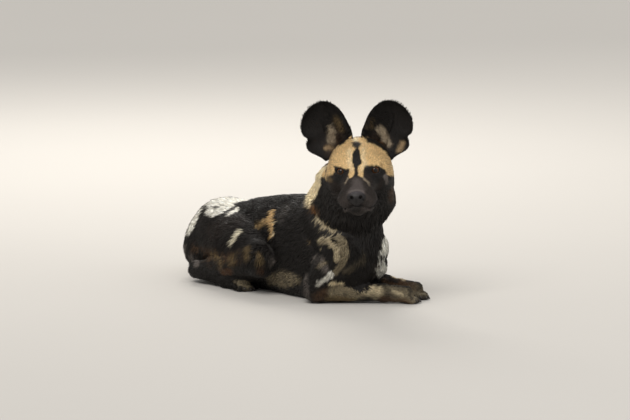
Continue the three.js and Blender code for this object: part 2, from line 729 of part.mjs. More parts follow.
// The line of the mouth: a fine groove round the muzzle between the lips, just under the skin line.
function mouthGroove() {
  const line = [...MOUTH_LINE.slice(1).reverse().map(([x, y, z]) => [-x, y, z]), ...MOUTH_LINE].map(point);
  line.forEach((p) => settle(p, headForm, 14));
  const path = new THREE.CatmullRomCurve3(line);
  const section = new THREE.Shape();
  section.absarc(0, 0, MOUTH_GROOVE_RADIUS, 0, 2 * Math.PI, false);
  const sweep = { steps: 18, extrudePath: path, curveSegments: 3, bevelEnabled: false };
  const groove = new THREE.ExtrudeGeometry(section, sweep);
  groove.applyMatrix4(headFrame);
  return solidOf(groove);
}

const headGrid = [headFrame, [-78, -130, -96], [78, 84, 74], [10, 10, 10]];

function buildHead() {
  const eyes = { right: eyeParts(-1), left: eyeParts(1) };
  let head = surfaceOf(headFlesh, ...headGrid).intersect(halfSpace(
    nape.clone().addScaledVector(napeNormal, -GAP / 2), napeNormal.clone().negate()));
  for (const { lids, socket, opening } of Object.values(eyes)) {
    head = head.add(lids).subtract(socket).subtract(opening);
  }
  head = head.subtract(surfaceOf((p) => noseInPlace(p) - GAP, ...noseGrid));
  claimed.head = { solid: largest(head.subtract(mouthGroove())) };
  claimed.nose = { solid: largest(cutAway(surfaceOf(noseInPlace, ...noseGrid), bothSides(nostril))) };
  const earRoom = surfaceOf((p) => headFlesh(p) - GAP, ...headGrid);
  for (const [name, side] of [['right', -1], ['left', 1]]) {
    claimed[`eye_${name}`] = { solid: eyes[name].eye };
    claimed[`ear_${name}`] = { solid: largest(solidOf(earGeometry(side)).subtract(earRoom)) };
  }
}

buildHead();

const trunkGrid = [new THREE.Matrix4(), [-140, -140, -14], [140, 430, 240], [14, 20, 14]];

// Neck, between the nape cut and a cut from the withers to the front of the chest.
const neckForm = blend(18, body, headInPlace);
const neckSolid = surfaceOf(neckForm, new THREE.Matrix4(), [-110, -150, 40], [100, 110, 300], [16, 16, 16])
  .intersect(halfSpace(withers.clone().addScaledVector(neckNormal, GAP / 2), neckNormal))
  .intersect(halfSpace(nape.clone().addScaledVector(napeNormal, GAP / 2), napeNormal));
const neckCore = largest(cutAway(neckSolid, legRegions));

// The ruff: rows of locks round the throat and the sides of the neck, lying down and back.
function ruffLocks() {
  const draw = drawsFrom(11);
  const base = new THREE.Vector3(-2, -34, 130);
  const top = toHead([0, 22, -50]);
  const axis = top.clone().sub(base).normalize();
  const face = new THREE.Vector3(0, -1, 0).applyMatrix4(headTurn);
  const front = face.clone().addScaledVector(axis, -face.dot(axis)).normalize();
  const locks = [];
  RUFF_ROWS.forEach(([level, count, spread], row) => {
    for (let n = 0; n < count; n += 1) {
      const angle = radians(mix(-spread, spread, (n + (row % 2) * 0.4 + 0.3) / count) + draw(-4, 4));
      const out = front.clone().applyAxisAngle(axis, angle);
      const root = base.clone().lerp(top, level);
      while (neckForm(root) < 0) root.addScaledVector(out, 1);
      const lie = axis.clone().negate().addScaledVector(out, -0.05).normalize();
      const straight = out.clone().addScaledVector(lie, -out.dot(lie)).normalize();
      locks.push(lockSolid({
        ...RUFF_LOCK,
        root,
        lie,
        out: straight,
        length: draw(0.9, 1.1) * RUFF_LOCK.length,
        width: draw(0.9, 1.15) * RUFF_LOCK.width,
        lift: draw(0.75, 1.1) * RUFF_LOCK.lift,
        bend: draw(-7, 7),
      }));
    }
  });
  return locks;
}

const torsoSide = regionOf([[withers, neckNormal.clone().negate()]], GAP / 2);
const headSide = regionOf([[nape, napeNormal.clone().negate()]], GAP / 2);
const ruffCutters = [
  surfaceOf((p) => body(p) - GAP, ...trunkGrid).intersect(torsoSide),
  surfaceOf((p) => headFlesh(p) - GAP, ...headGrid).intersect(headSide),
  ...legRegions,
];
const ruff = ruffLocks().map((lock) => cutAway(lock, ruffCutters));
claimed.neck = { solid: largest(joinAll(neckCore, ruff)) };

// Tail: a core that tapers to both ends, in two lengths.
const tailCurve = new THREE.CatmullRomCurve3(TAIL_PATH.map(point));
function tailRadius(t) {
  const swell = mix(TAIL_CORE.root, TAIL_CORE.middle, THREE.MathUtils.smoothstep(t, 0.1, 0.5));
  return mix(swell, TAIL_CORE.tip, THREE.MathUtils.smoothstep(t, 0.55, 1));
}

// The tail's core: rings of points round its curve, closed with a point at each end.
function tailCore() {
  const rings = 11;
  const sides = 7;
  const vertices = [];
  for (let ring = 0; ring <= rings; ring += 1) {
    const t = ring / rings;
    const along = tailCurve.getTangent(t);
    const radial = new THREE.Vector3(0, 0, 1).addScaledVector(along, -along.z).normalize();
    for (let n = 0; n < sides; n += 1) {
      const out = radial.clone().applyAxisAngle(along, 2 * Math.PI * n / sides);
      vertices.push(...tailCurve.getPoint(t).addScaledVector(out, tailRadius(t)).toArray());
    }
  }
  const first = (rings + 1) * sides;
  vertices.push(...tailCurve.getPoint(0).toArray());
  const end = tailCurve.getPoint(1).addScaledVector(tailCurve.getTangent(1), TAIL_CORE.tip);
  vertices.push(...end.toArray());
  const triangles = [];
  for (let n = 0; n < sides; n += 1) {
    const next = (n + 1) % sides;
    for (let ring = 0; ring < rings; ring += 1) {
      const [a, b] = [ring * sides + n, ring * sides + next];
      triangles.push(a, b, b + sides, a, b + sides, a + sides);
    }
    triangles.push(first, next, n);
    triangles.push(first + 1, rings * sides + n, rings * sides + next);
  }
  return solidFrom(new Float32Array(vertices), new Uint32Array(triangles));
}

// Locks in rings round the tail, each ring turned by half a lock from the one before.
function tailLocks() {
  const draw = drawsFrom(5);
  const locks = [];
  TAIL_RINGS.forEach(([t, count], ring) => {
    const lie = tailCurve.getTangent(t);
    const above = new THREE.Vector3(0, 0, 1).addScaledVector(lie, -lie.z).normalize();
    for (let n = 0; n < count; n += 1) {
      const size = draw(0.88, 1.12) * (t > 0.75 ? 0.8 : 1);
      const turn = 2 * Math.PI * (n + (ring % 2) * 0.5) / count + draw(-0.12, 0.12);
      const out = above.clone().applyAxisAngle(lie, turn);
      locks.push(lockSolid({
        ...TAIL_LOCK,
        root: tailCurve.getPoint(t).addScaledVector(out, tailRadius(t)),
        lie,
        out,
        length: TAIL_LOCK.length * size,
        width: TAIL_LOCK.width * size,
        bend: draw(-6, 6),
        lift: TAIL_LOCK.lift * size,
      }));
    }
  });
  return locks;
}

const TAIL_NODES = [['tail_base', 0, 0.3], ['tail_brush', 0.3, 0.66], ['tail_tip', 0.66, 1]];

// Trunk node: all the flesh behind the neck cut, clear of every leg.
const trunkSolid = surfaceOf(body, ...trunkGrid)
  .intersect(aboveGround)
  .intersect(halfSpace(withers.clone().addScaledVector(neckNormal, -GAP / 2), neckNormal.clone().negate()));
claimed.torso = { solid: largest(cutAway(trunkSolid, legRegions)) };

const hindLeft = blend(9, body, legs.left.hind.lower, legs.left.hind.paw);
const tailCutters = [
  surfaceOf((p) => body(p) - GAP, ...trunkGrid),
  surfaceOf((p) => hindLeft(p) - TAIL_CLEARANCE, ...trunkGrid),
];
const wholeTail = cutAway(joinAll(tailCore(), tailLocks()), tailCutters).intersect(aboveGround);
for (const [name, from, to] of TAIL_NODES) {
  const start = [tailCurve.getPoint(from), tailCurve.getTangent(from)];
  const end = opposite([tailCurve.getPoint(to), tailCurve.getTangent(to)]);
  const ends = [start, end].filter((_, n) => (n === 0 ? from > 0 : to < 1));
  claimed[name] = { solid: largest(wholeTail.intersect(regionOf(ends, -GAP / 2))) };
}

// Each foot's claws are joined to its toes.
for (const side of ['right', 'left']) {
  const feet = [[`forepaw_${side}`, FORELEGS[side].wrist, FORELEGS[side].toes],
    [`hind_foot_${side}`, HINDLEGS[side].ankle, HINDLEGS[side].toes]];
  for (const [name, wrist, toes] of feet) {
    const clawed = joinAll(claimed[name].solid, claws(pawFrame(wrist, toes)));
    claimed[name].solid = largest(clawed.intersect(aboveGround));
  }
}

// Colours of the coat where each node lies.
const COLOURS = {
  head: 0x8a6a45, nose: 0x17120f, eye: 0x2a170c, ear: 0x201a17, neck: 0x3a2c20, torso: 0x211c19,
  upper: 0x3b3027, forearm: 0x8b7a60, forepaw: 0x7d6c55, thigh: 0x3a3028, shank: 0x53463a, hind: 0x7a6b58,
  tail: 0xb9a98c,
};

const dog = new THREE.Group();
for (const [name, { solid }] of Object.entries(claimed)) {
  const family = name.split('_')[0];
  const roughness = family === 'eye' ? 0.12 : family === 'nose' ? 0.45 : 0.85;
  const material = new THREE.MeshStandardMaterial({ color: COLOURS[family], roughness, metalness: 0 });
  const mesh = new THREE.Mesh(geometryOf(solid), material);
  mesh.name = name;
  dog.add(mesh);
}

export default dog;
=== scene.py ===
# %% [markdown]
# # A young African wild dog, lying down
# The dog lies on its chest with its head up and turned to the viewer, its forelegs out in front.
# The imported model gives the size, the pose and the place of every part. This file puts the
# finish round it: one skin, a coat of small tufts, eyes, nose leather and claws.
# Everything is in metres in the end, but the shapes are worked out in millimetres.

import math
import bmesh
import bpy
import numpy as np
from mathutils import Matrix, Vector
from mathutils.bvhtree import BVHTree
from mathutils.kdtree import KDTree


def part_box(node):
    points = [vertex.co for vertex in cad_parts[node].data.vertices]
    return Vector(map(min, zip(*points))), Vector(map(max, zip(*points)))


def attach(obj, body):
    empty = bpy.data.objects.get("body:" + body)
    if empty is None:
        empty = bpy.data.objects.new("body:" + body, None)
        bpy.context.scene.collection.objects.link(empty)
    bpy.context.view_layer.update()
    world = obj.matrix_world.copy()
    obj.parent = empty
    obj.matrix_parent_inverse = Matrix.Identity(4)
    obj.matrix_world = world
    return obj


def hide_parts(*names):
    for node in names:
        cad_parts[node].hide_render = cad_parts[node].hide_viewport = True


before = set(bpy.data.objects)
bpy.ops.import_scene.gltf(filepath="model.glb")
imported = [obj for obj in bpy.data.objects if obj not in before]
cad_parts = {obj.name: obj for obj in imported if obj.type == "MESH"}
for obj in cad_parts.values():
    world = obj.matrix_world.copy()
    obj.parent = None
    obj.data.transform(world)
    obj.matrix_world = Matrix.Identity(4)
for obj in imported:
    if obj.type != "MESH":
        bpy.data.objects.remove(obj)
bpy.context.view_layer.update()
MM = 0.001

# %% [markdown]
# ## Camera
# The view is level with the dog's chest and a little above it, from the front right, with a long
# lens. The camera comes first, because the places of the coat's patches are read along its rays:
# a patch is named by where it is seen, and is then laid on the skin itself.

# %% Camera
VIEW_TURN, VIEW_RISE, VIEW_AWAY = math.radians(-128.0), math.radians(8.5), 14.0
AIM = Vector((-0.0343, 0.0268, 0.158))
FRAME_WIDTH = 1.0957
PICTURE_ACROSS, PICTURE_DOWN, SENSOR = 630, 420, 36
toward = Vector((math.cos(VIEW_TURN) * math.cos(VIEW_RISE), math.sin(VIEW_TURN) * math.cos(VIEW_RISE),
                 math.sin(VIEW_RISE)))
right = Vector((0, 0, 1)).cross(toward).normalized()
above = toward.cross(right).normalized()
lens = bpy.data.cameras.new("camera")
lens.sensor_width = SENSOR
lens.lens = SENSOR * VIEW_AWAY / FRAME_WIDTH
lens.clip_end = 60
camera = bpy.data.objects.new("camera", lens)
bpy.context.scene.collection.objects.link(camera)
camera.matrix_world = Matrix.Translation(AIM + toward * VIEW_AWAY) @ Matrix(
    (right, above, toward)).transposed().to_4x4()
bpy.context.scene.camera = camera
print("camera at", [round(v, 2) for v in camera.location], "lens", round(lens.lens))

# %% [markdown]
# ## Forms
# A body is easy to describe as round forms that melt into each other. Each form here is a
# function that takes points and gives how far each lies outside it. Two forms are melted by a
# soft minimum. Sculpting by hand would also do, but these are the same named forms and sizes as
# the solids have, so the skin lies just inside them everywhere.

# %% Round forms and how they melt together


def unit(v):
    v = np.asarray(v, float)
    return v / np.maximum(np.linalg.norm(v, axis=-1, keepdims=True), 1e-12)


def smooth_min(a, b, reach):
    h = np.maximum(reach - np.abs(a - b), 0) / reach
    return np.minimum(a, b) - h * h * reach / 4


def blend(reach, *forms):
    def melted(p):
        d = forms[0](p)
        for form in forms[1:]:
            d = smooth_min(d, form(p), reach)
        return d
    return melted


def ellipsoid(centre, radii):
    centre, radii = np.array(centre, float), np.array(radii, float)

    def form(p):
        q = (p - centre) / radii
        near = np.sqrt((q * q).sum(-1))
        slope = np.sqrt(((q / radii) ** 2).sum(-1))
        return near * (near - 1) / np.maximum(slope, 1e-9)
    return form


def taper(start, end, r1, r2):
    a, axis = np.array(start, float), np.array(end, float) - np.array(start, float)
    length2 = axis @ axis
    dr = r1 - r2
    side2 = length2 - dr * dr

    def form(p):
        pa = p - a
        y = pa @ axis
        z = y - length2
        q = pa * length2 - y[:, None] * axis
        x2 = (q * q).sum(-1)
        y2, z2 = y * y * length2, z * z * length2
        k = np.sign(dr) * dr * dr * x2
        d = (np.sqrt(x2 * side2 / length2) + y * dr) / length2 - r1
        d = np.where(np.sign(y) * side2 * y2 < k, np.sqrt(x2 + y2) / length2 - r1, d)
        return np.where(np.sign(z) * side2 * z2 > k, np.sqrt(x2 + z2) / length2 - r2, d)
    return form


class Place:
    """A place with its own axes: turns points into it and back out of it."""

    def __init__(self, origin, axes):
        self.origin, self.axes = np.array(origin, float), np.array(axes, float)

    def inside(self, p):
        return (np.asarray(p, float) - self.origin) @ self.axes.T

    def outside(self, p):
        return np.asarray(p, float) @ self.axes + self.origin

    def turned(self, v):
        return np.asarray(v, float) @ self.axes


def in_place(place, form):
    return lambda p: form(place.inside(p))


def place_along(origin, direction, up=(0, 0, 1)):
    y = unit(direction)
    x = unit(np.cross(y, up))
    return Place(origin, [x, y, np.cross(x, y)])


def bounded(form, points, radius, reach=34):
    """The same form, measured only near the points that it is built round."""
    low = np.min(points, 0) - radius - reach
    high = np.max(points, 0) + radius + reach

    def near_only(p):
        near = ((p > low) & (p < high)).all(-1)
        d = np.full(len(p), float(reach))
        d[near] = form(p[near])
        return d
    return near_only


def deeper(form, depth):
    """The same form, lying that far further in."""
    return lambda p: form(p) + depth


def smoothstep(x, low, high):
    t = np.clip((np.asarray(x, float) - low) / (high - low), 0, 1)
    return t * t * (3 - 2 * t)


print("forms ready")

# %% [markdown]
# ## Trunk, neck and legs
# The rib cage is the widest form, then the loin, the haunches and the belly that spreads on the
# ground. The legs are chains of tapered limbs. The coat stands about 4 mm off the trunk and 1 mm
# off the paws, so each form is taken in by its own coat's depth before they melt together.

# %% Sizes of the trunk and legs
COAT_DEPTH = {"trunk": 4.2, "neck": 2.5, "arm": 3.2, "forearm": 1.8, "paw": 1.1, "head": 1.3, "ear": 0.5}
BACK_HEIGHT, RUMP_HEIGHT = 175, 143
FORELEGS = {
    "right": dict(blade=(-34, 18, 148), shoulder=(-46, -63, 98), crook=(-51, -32, 62), elbow=(-55, -2, 27),
                  wrist=(36, -75, 18), toes=(78, -107, 6.5)),
    "left": dict(blade=(26, 22, 148), shoulder=(41, -35, 92), crook=(54, -22, 60), elbow=(66, 22, 28),
                 wrist=(96, -45, 18), toes=(114, -86, 6.5)),
}
HINDLEGS = {
    "right": dict(hip=(-34, 284, 90), knee=(-80, 124, 64), hock=(-82, 302, 24), ankle=(-76, 222, 14),
                  toes=(-68, 176, 6.5)),
    "left": dict(hip=(34, 284, 90), knee=(80, 118, 64), hock=(86, 298, 24), ankle=(84, 218, 14),
                 toes=(80, 172, 6.5)),
}
TAIL_PATH = [(2, 368, 88), (12, 404, 56), (40, 424, 27), (92, 414, 21), (134, 368, 21), (150, 306, 20),
             (150, 250, 16)]
TOE_PITCH, TOE_RADIUS = 8.4, 6.6


def turn(axis, degrees):
    """Rows are the turned axes."""
    return np.array(Matrix.Rotation(math.radians(degrees), 3, axis)).T


HEAD = Place((-22.5, -84, 241), turn("Y", -3.1) @ turn("X", -5) @ turn("Z", -42.5))

trunk = blend(
    30,
    ellipsoid((-6, 80, BACK_HEIGHT / 2 + 2), (66, 138, BACK_HEIGHT / 2)),  # ribs
    ellipsoid((4, -24, 84), (46, 56, 66)),  # chest
    ellipsoid((-4, 184, 83), (56, 114, 77)),  # loin
    ellipsoid((-5, 308, RUMP_HEIGHT / 2 + 2), (64, 84, RUMP_HEIGHT / 2)),  # rump
    ellipsoid((-5, 336, 50), (62, 62, 50)),  # seat
    taper((-4, 10, 46), (-4, 290, 44), 56, 50),  # belly on the ground
)
neck = bounded(blend(
    24,
    taper((4, -22, 108), (-14, -56, 206), 56, 54),  # throat
    taper((-6, 44, 122), (-11, -19, 203), 50, 44),  # nape
    in_place(HEAD, ellipsoid((1, 28, -55), (56, 40, 40))),  # ruff
), [(4, -22, 108), (-14, -56, 206), (-6, 44, 122), (-12, -100, 190)], 60, 40)


def toe_lines():
    for n in range(4):
        side = n - 1.5
        middle = 1 if abs(side) < 1 else 0
        yield (side * TOE_PITCH * 0.8, -22, 2), (side * TOE_PITCH, middle * 7 - 3, -1.5)


def paw_place(wrist, toes):
    return place_along(toes, np.subtract(toes, wrist))


def paw(wrist, toes):
    reach = float(np.linalg.norm(np.subtract(toes, wrist)))
    pad = taper((0, -reach, 0), (0, -16, 3 + (wrist[2] - toes[2]) * 0.25), 15, 14.5)
    toe_forms = [taper(root, tip, TOE_RADIUS + 0.8, TOE_RADIUS) for root, tip in toe_lines()]
    return deeper(in_place(paw_place(wrist, toes), blend(4, pad, *toe_forms)), COAT_DEPTH["paw"])


def foreleg(blade, shoulder, crook, elbow, wrist, toes):
    upper = blend(14, taper(blade, shoulder, 20, 26.5), taper(shoulder, crook, 26.5, 24),
                  taper(crook, elbow, 24, 23))
    forearm = deeper(taper(elbow, wrist, 22.5, 14.5), COAT_DEPTH["forearm"])
    return deeper(upper, COAT_DEPTH["arm"]), blend(5, forearm, paw(wrist, toes))


def hindleg(hip, knee, hock, ankle, toes):
    middle = np.array(hip) + 0.45 * (np.array(knee) - np.array(hip))
    haunch = ellipsoid((middle[0] + math.copysign(4, hip[0]), middle[1] + 6, 66), (34, 82, 60))
    upper = deeper(blend(22, taper(hip, knee, 46, 29), haunch), COAT_DEPTH["arm"])
    shank = deeper(taper(knee, hock, 27, 14), COAT_DEPTH["forearm"])
    foot = deeper(taper(hock, ankle, 14.5, 12.5), COAT_DEPTH["paw"] + 0.5)
    return upper, blend(8, shank, foot, paw(ankle, toes))


uppers, lowers = [], []
for side in ("right", "left"):
    fore, hind = FORELEGS[side], HINDLEGS[side]
    arm, forearm = foreleg(**fore)
    thigh, shank = hindleg(**hind)
    uppers += [bounded(arm, [fore["blade"], fore["shoulder"], fore["elbow"]], 28),
               bounded(thigh, [hind["hip"], hind["knee"], (hind["knee"][0], 290, 60)], 50)]
    lowers += [bounded(forearm, [fore["elbow"], fore["wrist"], fore["toes"]], 24),
               bounded(shank, [hind["knee"], hind["hock"], hind["toes"]], 30)]
body = blend(16, blend(26, deeper(trunk, COAT_DEPTH["trunk"]), deeper(neck, COAT_DEPTH["neck"])), *uppers)
print("limbs:", len(uppers) + len(lowers))

# %% [markdown]
# ## Head
# The head has a broad skull, full cheeks, a short strong muzzle and round cupped ears. Lids lie
# on each eyeball and leave an almond opening, and a fine groove marks the mouth between the lips.
# The head gets the most forms and, later, the finest mesh, because it is what is looked at first.

# %% Skull, muzzle and ears
NOSE_REACH, NOSE_DROP, CHIN_DROP = 117, 42.5, 75
MUZZLE_RADII, CHIN_RADII = (32, 23), (24, 13.5)
EAR_HEIGHT, EAR_ROOT, EAR_HALF_WIDTH, EAR_CUP, EAR_THICKNESS = 82.5, 16, 41, 24, 3.4
EAR_PLACES = {"right": (-40, 4, 40.5), "left": (35, 4, 37)}
EAR_BEND, EAR_FOOT, EAR_FULL = 1.3, 26, 38
# Each small form of the ear's edge has a size, a middle and a spread.
LOBE, NOTCH, FOLD, RIDGE = (5.5, 11, 13), (5, 31, 6), (2.4, 14, 6), 1.6


def both(make):
    return [make(-1), make(1)]


skull = blend(
    14,
    ellipsoid((0, 8, 4), (54, 56, 52)),  # braincase
    ellipsoid((0, -26, 10), (38, 28, 32)),  # forehead
    *both(lambda s: ellipsoid((s * 38, -12, -14), (20, 34, 24))),  # cheekbones
    *both(lambda s: ellipsoid((s * 30, 8, -36), (25, 34, 30))),  # jaw muscles
    taper((0, -46, -20), (0, -NOSE_REACH + 28, -NOSE_DROP + 2), *MUZZLE_RADII),
    *both(lambda s: ellipsoid((s * 16, -NOSE_REACH + 27, -45), (19, 18, 16))),  # whisker pads
    taper((0, -26, -52), (0, -84, -CHIN_DROP + CHIN_RADII[1]), *CHIN_RADII),
)
ear_rows = np.linspace(0, 1, 200)
ear_heights = -EAR_ROOT + (EAR_HEIGHT - 0.6 + EAR_ROOT) * (
    np.sin(ear_rows * np.pi / 2) * 0.75 + ear_rows * 0.25)


def ear_half_width(h):
    low = EAR_FOOT + (EAR_HALF_WIDTH - EAR_FOOT) * smoothstep(h, -EAR_ROOT - 8, 22)
    top = np.sqrt(np.maximum(0, 1 - (np.maximum(h - EAR_FULL, 0) / (EAR_HEIGHT - EAR_FULL)) ** 2))
    return low * top


def hump(x, middle, spread):
    return np.exp(-((x - middle) / spread) ** 2)


EARS = {}
for name, s in (("right", -1), ("left", 1)):
    EARS[name] = Place(HEAD.outside(EAR_PLACES[name]), turn("Z", s * 10) @ turn("Y", s * 21) @ HEAD.axes)


def ear_leaf(side, rows=56, columns=40):
    """A cupped leaf with a rolled rim and, low on its outer edge, the small fold of the real ear."""
    points = np.zeros((2, rows + 1, columns + 1, 3))
    for j in range(rows + 1):
        t = j / rows
        h = -EAR_ROOT + (EAR_HEIGHT - 0.9 + EAR_ROOT) * (math.sin(t * math.pi / 2) * 0.8 + t * 0.2)
        row = np.interp(h, ear_heights, ear_rows)
        half = max(float(ear_half_width(h)), 2.5)
        deep = EAR_CUP * half / EAR_HALF_WIDTH * (1 - 0.3 * row)
        across = np.linspace(-1, 1, columns + 1)
        a, edge = across * EAR_BEND, np.abs(across)
        outer = LOBE[0] * hump(h, *LOBE[1:]) - NOTCH[0] * hump(h, *NOTCH[1:])
        outer = outer * smoothstep(across, 0.2, 1)
        fold = FOLD[0] * hump(h, *FOLD[1:]) * hump(across, 0.86, 0.1)
        ridge = RIDGE * hump(across, -0.35, 0.16) * smoothstep(40 - h, 0, 34)
        x = half * np.sin(a) / math.sin(EAR_BEND) + 5 * math.sin(row * math.pi) + outer
        middle = deep * (np.cos(a) - math.cos(EAR_BEND)) / (1 - math.cos(EAR_BEND))
        thick = EAR_THICKNESS * (1 - 0.45 * edge ** 2) - 2 * COAT_DEPTH["ear"]
        roll = 1.3 * smoothstep(edge, 0.8, 1) * smoothstep(h, 0, 30)
        for layer in (0, 1):
            y = middle + COAT_DEPTH["ear"] + layer * thick - roll
            y = y - (fold + ridge) * (1 - layer)
            points[layer, j] = np.stack([side * x, y, np.full_like(x, h)], -1)
    flat = points.reshape(-1, 3)
    at = np.arange(flat.shape[0]).reshape(2, rows + 1, columns + 1)

    def patch(a, b, c, d):
        return np.stack([a, b, c, d], -1).reshape(-1, 4)
    quads = [patch(at[0, :-1, :-1], at[0, :-1, 1:], at[0, 1:, 1:], at[0, 1:, :-1]),
             patch(at[1, :-1, :-1], at[1, 1:, :-1], at[1, 1:, 1:], at[1, :-1, 1:]),
             patch(at[0, :-1, 0], at[0, 1:, 0], at[1, 1:, 0], at[1, :-1, 0]),
             patch(at[0, :-1, -1], at[1, :-1, -1], at[1, 1:, -1], at[0, 1:, -1]),
             patch(at[0, 0, :-1], at[1, 0, :-1], at[1, 0, 1:], at[0, 0, 1:]),
             patch(at[0, -1, :-1], at[0, -1, 1:], at[1, -1, 1:], at[1, -1, :-1])]
    quads = np.concatenate(quads)
    return flat, quads if side > 0 else quads[:, ::-1]


print("ears set", [np.round(e.origin).tolist() for e in EARS.values()])

# %% Eyes, lids, lips and the line of the mouth
EYE_RADIUS, LID_THICKNESS, LID_GAP = 9.5, 1.5, 0.3
BROW, BROW_MELT, LID_MELT, LIP_MELT = ellipsoid((0, 0.5, 9.5), (15, 7, 4.2)), 6, 3.5, 4
EYES = {}
for name, s in (("right", -1), ("left", 1)):
    low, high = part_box("eye_" + name)
    gaze = unit((s * 0.33, -0.94, 0.02))
    middle = HEAD.inside(np.array((low + high) / 2) / MM)
    eye = place_along(middle, gaze)
    slant = math.radians(s * -12)
    x = eye.axes[0] * math.cos(slant) + eye.axes[2] * math.sin(slant)
    EYES[name] = Place(middle, [x, eye.axes[1], np.cross(x, eye.axes[1])])

MOUTH_LINE = [(0, -110, -56), (12, -105, -58), (21, -94, -60), (27, -76, -59), (32, -58, -56), (36, -44, -54)]


def eye_opening(p, width=17.4, height=10.2):
    """The almond between the lids, drawn out along the gaze."""
    arc = (width * width / 4 + height * height / 4) / height
    off = arc - height / 2
    upper = np.hypot(p[:, 0], p[:, 2] + off) - arc
    lower = np.hypot(p[:, 0], p[:, 2] - off) - arc
    return np.maximum(np.maximum(upper, lower), -p[:, 1])


def on_skull(p, steps=12):
    """Moves points onto the skull along its slope."""
    p = np.array(p, float)
    for _ in range(steps):
        d = skull(p)
        slope = np.stack([(skull(p + e) - skull(p - e)) for e in np.eye(3) * 0.5], -1)
        p = p - unit(slope) * d[:, None]
    return p


lip_line = on_skull([(-x, y, z) for x, y, z in MOUTH_LINE[:0:-1]] + MOUTH_LINE)


def chain(points, radius):
    links = [taper(a, b, radius, radius * 0.999) for a, b in zip(points[:-1], points[1:])]
    return lambda p: np.minimum.reduce([link(p) for link in links])


mouth_groove = chain(lip_line, 1.4)
philtrum = chain(on_skull([(0, -112, -50), (0, -109, -56)]), 0.9)
lower_lip = chain(lip_line + np.array((0, 1.5, -4.2)), 2.6)
upper_lip = chain(lip_line + np.array((0, 1.0, 4.4)), 3.2)


def head_form(p):
    d = skull(p) + COAT_DEPTH["head"]
    near = d < 30
    q = p[near]
    e = d[near]
    for name in EYES:
        local = EYES[name].inside(q)
        ball = np.sqrt((local * local).sum(-1)) - EYE_RADIUS
        e = smooth_min(e, BROW(local), BROW_MELT)
        e = smooth_min(e, ball - LID_GAP - LID_THICKNESS, LID_MELT)
        e = -smooth_min(-e, eye_opening(local), 1.0)
        e = np.maximum(e, -(ball - 0.2))
    e = smooth_min(e, lower_lip(q) + 0.8, LID_MELT)
    e = smooth_min(e, upper_lip(q) + 1.2, LIP_MELT)
    e = -smooth_min(-e, mouth_groove(q), 0.8)
    e = -smooth_min(-e, philtrum(q), 0.8)
    d[near] = e
    return d


head = bounded(in_place(HEAD, head_form), [HEAD.origin, HEAD.outside((0, -80, -40))], 70)
print("eyes at", {k: np.round(HEAD.outside(v.origin)).tolist() for k, v in EYES.items()})

# %% [markdown]
# ## One skin
# A grid of points is laid over the dog and each form is measured on it. Every cell that the
# surface crosses gives one vertex, and each grid edge that it crosses gives one face. This makes
# a closed mesh with even quads and no seam between head, trunk and legs. The vertices are then
# slid onto the true surface, which takes the steps of the grid away.

# %% A closed mesh from a form


def tail_spline(count):
    """Points along the tail's curve: a smooth line through the path."""
    pts = np.array(TAIL_PATH, float)
    ends = np.vstack([2 * pts[0] - pts[1], pts, 2 * pts[-1] - pts[-2]])
    out = []
    for n in np.linspace(0, len(pts) - 1 - 1e-6, count):
        i, t = int(n), n - int(n)
        a, b, c, d = ends[i:i + 4]
        out.append(0.5 * (2 * b + (c - a) * t + (2 * a - 5 * b + 4 * c - d) * t * t
                          + (3 * b - a - 3 * c + d) * t ** 3))
    return np.array(out)


def tail_radius(t):
    swell = 11 + 3 * smoothstep(t, 0.1, 0.5)
    return swell + (5 - swell) * smoothstep(t, 0.55, 1)


TAIL_POINTS = 25
tail_line = tail_spline(TAIL_POINTS)
tail_at = np.linspace(0, 1, TAIL_POINTS)
tail_core = [taper(a, b, float(tail_radius(t)) - 1.5, float(tail_radius(u)) - 1.501)
             for a, b, t, u in zip(tail_line[:-1], tail_line[1:], tail_at[:-1], tail_at[1:])]
flesh = blend(14, body, head)


def whole(p):
    d = flesh(p)
    for part in lowers:
        d = smooth_min(d, part(p), 9)
    rear = (p[:, 1] > 190) & (p[:, 0] > -30) & (p[:, 2] < 130)
    if rear.any():
        q = p[rear]
        tail = np.minimum.reduce([link(q) for link in tail_core])
        d[rear] = smooth_min(d[rear], tail, 6)
    return -smooth_min(-d, p[:, 2] - 0.4, 1.5)


CORNERS = np.stack(np.meshgrid(*[[0, 1]] * 3, indexing="ij"), -1).reshape(-1, 3)


def measured(form, points, block=400000):
    return np.concatenate([form(points[n:n + block]) for n in range(0, len(points), block)])


